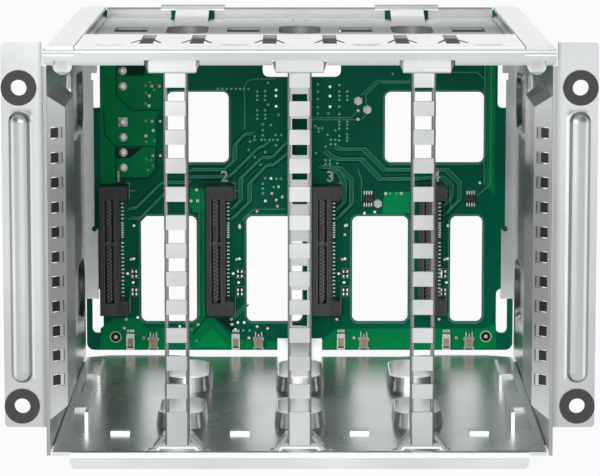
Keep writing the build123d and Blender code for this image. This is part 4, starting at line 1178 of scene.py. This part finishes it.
class BRACKET_OT_small_parts(bpy.types.Operator):
    """Build the status lamps, driver chips and resistors on the board's front"""

    bl_idname = "bracket.small_parts"
    bl_label = "Lamps, chips and resistors"

    # Lamps stand this far left and right of each bay centre
    lamp_offset = 3.8
    chip_leg_pitch = 0.8

    def blocks(self, name, sizes, places, finish_name, slot, edge=0.0):
        """The same few small blocks at each place; sizes are (x0, x1, y0, y1, z0, z1)."""
        pieces = [start_block(name, *size, edge=edge) for size in sizes]
        return finish(repeat(join(pieces, name), name, places), finish_named(finish_name))

    def narrow_lamps(self):
        """Frames, three pads and a dark line round each narrow lamp."""
        places = [(centre - self.lamp_offset, 0) for centre in BAY_CENTRES]
        paint_node("status_lamps_narrow", finish_named("lamp_resin"))
        self.blocks("narrow_lamp_frames", (
            (-1.36, -0.95, 0, 1.12, 6.28, 11.6), (0.95, 1.36, 0, 1.12, 6.28, 11.6),
            (-1.36, 1.36, 0, 1.16, 10.1, 11.62), (-1.36, 1.36, 0, 1.14, 6.26, 6.8),
            (-1.1, -0.5, 0, 0.2, 12.0, 12.9), (-0.2, 0.4, 0, 0.2, 12.0, 12.9),
            (0.6, 1.2, 0, 0.2, 12.0, 12.9)), places, "soldered", "pin")
        self.blocks("narrow_lamp_lines", ((-1.0, 1.0, 0, 1.16, 7.0, 7.35),), places,
                    "chip_epoxy", "chip")

    def wide_lamps(self):
        """Base, lens and soldered legs of each wide lamp."""
        places = [(centre + self.lamp_offset, 0) for centre in BAY_CENTRES]
        base = self.blocks("wide_lamp_bases", ((-1.45, 1.45, 0, 0.8, 6.7, 10.5),), places,
                           "lamp_base", "lamp", 0.1)
        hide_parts("status_lamps_wide")
        self.blocks("wide_lamp_lenses", ((-0.65, 0.75, 0, 1.05, 7.3, 9.7),), places,
                    "lamp_glow", "lamp", 0.15)
        self.blocks("wide_lamp_legs", (
            (-1.85, -1.35, 0, 0.5, 9.3, 10.3), (1.35, 1.85, 0, 0.5, 9.3, 10.3),
            (-1.75, -1.05, 0, 0.5, 6.3, 7.0), (1.05, 1.75, 0, 0.5, 6.3, 7.0),
            (-1.2, -0.7, 0, 0.6, 10.4, 12.2), (-0.2, 0.3, 0, 0.6, 10.4, 11.6),
            (0.8, 1.3, 0, 0.6, 10.4, 12.2)), places, "soldered", "pin", 0.08)

    def chips(self):
        """Driver chips, each with four legs above and below."""
        body = self.blocks("chip_bodies", ((-1.6, 1.6, 0.1, 1.3, -1.35, 1.35),), CHIPS,
                           "chip_epoxy", "chip", 0.12)
        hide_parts("driver_chips")
        legs = []
        for step in range(4):
            x = (step - 1.5) * self.chip_leg_pitch
            for z0, z1 in ((-2.6, -1.3), (1.3, 2.6)):
                legs.append((x - 0.16, x + 0.16, 0, 0.45, z0, z1))
        self.blocks("chip_legs", legs, CHIPS, "tinned", "pin")

    def resistors(self):
        """Chip resistors with a tinned cap at either end."""
        places = bay_places([(RESISTOR_OFFSET, z) for z in RESISTOR_HEIGHTS])
        body = self.blocks("resistor_bodies", ((-0.5, 0.5, 0, 0.6, -0.4, 0.4),), places,
                           "resistor_ceramic", "chip")
        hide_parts("chip_resistors")
        self.blocks("resistor_caps", ((-0.85, -0.4, 0, 0.62, -0.42, 0.42),
                                      (0.4, 0.85, 0, 0.62, -0.42, 0.42)), places, "tinned", "pin")

    def execute(self, context):
        self.narrow_lamps()
        self.wide_lamps()
        self.chips()
        self.resistors()
        return {"FINISHED"}


class BRACKET_OT_stage(bpy.types.Operator):
    """Set the pale floor, soft light and the camera"""

    bl_idname = "bracket.stage"
    bl_label = "Stage"

    # Place, aim, width and height of each softbox, in metres
    softboxes = {
        "key_softbox": ((-1.1, -1.5, 0.8), (0, 0, 0.05), (1.2, 1.2)),
        "front_softbox": ((-0.3, -1.5, 0.45), (0, 0, 0.06), (1.2, 0.7)),
        "top_softbox": ((0.1, -0.2, 1.5), (0, 0, 0), (1.4, 1.4)),
    }
    card_size = (2.0, 1.4)
    floor_size = 16

    def white_to_eye(self, tree, seen, other):
        """Mix of two shaders; the eye, a reflection and glass see the first."""
        path = add_node(tree, "ShaderNodeLightPath")
        first = add_node(tree, "ShaderNodeMath", operation="MAXIMUM")
        second = add_node(tree, "ShaderNodeMath", operation="MAXIMUM")
        tree.links.new(path.outputs["Is Camera Ray"], first.inputs[0])
        tree.links.new(path.outputs["Is Glossy Ray"], first.inputs[1])
        tree.links.new(first.outputs[0], second.inputs[0])
        tree.links.new(path.outputs["Is Transmission Ray"], second.inputs[1])
        mix = add_node(tree, "ShaderNodeMixShader")
        tree.links.new(second.outputs[0], mix.inputs["Fac"])
        tree.links.new(other, mix.inputs[1])
        tree.links.new(seen, mix.inputs[2])
        return mix

    def floor(self):
        deselect()
        bpy.ops.mesh.primitive_plane_add(size=self.floor_size, location=(0, 3, -0.0002))
        floor = bpy.context.object
        floor.name = "studio_floor"
        material, tree, shader, _ = new_material("pale_floor")
        shader.inputs["Base Color"].default_value = (0.9, 0.9, 0.9, 1)
        shader.inputs["Roughness"].default_value = 0.9
        glow = add_node(tree, "ShaderNodeEmission", {"Color": (1, 1, 1, 1), "Strength": 1.0})
        soft = add_node(tree, "ShaderNodeMixShader", {"Fac": 0.93})
        tree.links.new(shader.outputs[0], soft.inputs[1])
        tree.links.new(glow.outputs[0], soft.inputs[2])
        mix = self.white_to_eye(tree, soft.outputs[0], shader.outputs[0])
        out = next(n for n in tree.nodes if n.type == "OUTPUT_MATERIAL")
        tree.links.new(mix.outputs[0], out.inputs["Surface"])
        floor.data.materials.append(material)

    def dark_card(self, name, place):
        """Upright dark card that only the steel sees, as a mirror image."""
        deselect()
        bpy.ops.mesh.primitive_plane_add(
            size=1, location=place, rotation=(QUARTER_TURN, 0, QUARTER_TURN),
            scale=(*self.card_size, 1))
        card = settle(bpy.context.object, name)
        material, _, shader, _ = new_material(card.name)
        shader.inputs["Base Color"].default_value = (0.05, 0.05, 0.05, 1)
        shader.inputs["Roughness"].default_value = 0.9
        card.data.materials.append(material)
        card.visible_camera = False

    def lamp(self, name, place, aim, size, power):
        light = bpy.data.lights.new(name, "AREA")
        light.shape = "RECTANGLE"
        light.size, light.size_y = size
        light.energy = power
        lamp = bpy.data.objects.new(name, light)
        bpy.context.scene.collection.objects.link(lamp)
        lamp.location = place
        lamp.rotation_euler = (Vector(aim) - Vector(place)).to_track_quat("-Z", "Y").to_euler()

    def room(self, context, strength):
        """World that is white to look at and lights the object with a given strength."""
        world = bpy.data.worlds.new("studio_room")
        world.use_nodes = True
        tree = world.node_tree
        tree.nodes.clear()
        seen = add_node(tree, "ShaderNodeBackground", {"Color": (1, 1, 1, 1), "Strength": 1.0})
        lit = add_node(tree, "ShaderNodeBackground", {"Color": (1, 1, 1, 1), "Strength": strength})
        mix = self.white_to_eye(tree, seen.outputs[0], lit.outputs[0])
        out = add_node(tree, "ShaderNodeOutputWorld")
        tree.links.new(mix.outputs[0], out.inputs["Surface"])
        context.scene.world = world

    def camera(self, context, stage):
        """Camera at the photograph's place and angle."""
        data = bpy.data.cameras.new("camera")
        data.lens = stage.lens
        data.sensor_width = 36.0
        data.clip_start = 0.05
        data.clip_end = 60.0
        camera = bpy.data.objects.new("camera", data)
        context.scene.collection.objects.link(camera)
        camera.location = (0.0001, -stage.camera_distance, stage.camera_height)
        camera.rotation_euler = (QUARTER_TURN - stage.camera_pitch, 0, 0)
        context.scene.camera = camera

    def execute(self, context):
        stage = context.scene.bracket_stage
        self.floor()
        powers = (stage.key_power, stage.front_power, stage.top_power)
        for (name, box), power in zip(self.softboxes.items(), powers):
            self.lamp(name, *box, power)
        for name, side in (("dark_card_left", -1), ("dark_card_right", 1)):
            self.dark_card(name, (side * stage.card_distance, -0.4, 0.7))
        self.room(context, stage.room)
        self.camera(context, stage)
        context.scene.view_settings.view_transform = "Standard"
        return {"FINISHED"}


OPERATORS = (
    BRACKET_OT_sheet_metal, BRACKET_OT_mouldings, BRACKET_OT_copper, BRACKET_OT_vias,
    BRACKET_OT_print, BRACKET_OT_connector_tails, BRACKET_OT_small_parts, BRACKET_OT_stage,
)
SETTINGS = (
    (BracketSteel, "bracket_steel", "Sheet metal"),
    (BracketBoard, "bracket_board", "Board"),
    (BracketMouldings, "bracket_mouldings", "Mouldings"),
    (BracketStage, "bracket_stage", "Stage"),
)


class BRACKET_PT_panel(bpy.types.Panel):
    """Lists the steps and settings of the bracket"""

    bl_label = "Bracket"
    bl_idname = "BRACKET_PT_panel"
    bl_space_type = "VIEW_3D"
    bl_region_type = "UI"
    bl_category = "Bracket"

    def draw(self, context):
        for step in OPERATORS:
            self.layout.operator(step.bl_idname)
        for settings, name, title in SETTINGS:
            box = self.layout.box()
            box.label(text=title)
            for key in settings.__annotations__:
                box.prop(getattr(context.scene, name), key)


def register():
    for settings, name, _ in SETTINGS:
        bpy.utils.register_class(settings)
        setattr(bpy.types.Scene, name, PointerProperty(type=settings))
    for item in (*OPERATORS, BRACKET_PT_panel):
        bpy.utils.register_class(item)


def unregister():
    for item in reversed((*OPERATORS, BRACKET_PT_panel)):
        bpy.utils.unregister_class(item)
    for settings, name, _ in reversed(SETTINGS):
        delattr(bpy.types.Scene, name)
        bpy.utils.unregister_class(settings)


def main():
    register()
    bpy.ops.bracket.sheet_metal()
    bpy.ops.bracket.mouldings()
    bpy.ops.bracket.copper()
    bpy.ops.bracket.vias()
    bpy.ops.bracket.print()
    bpy.ops.bracket.connector_tails()
    bpy.ops.bracket.small_parts()
    bpy.ops.bracket.stage()


if __name__ == "__main__":
    main()
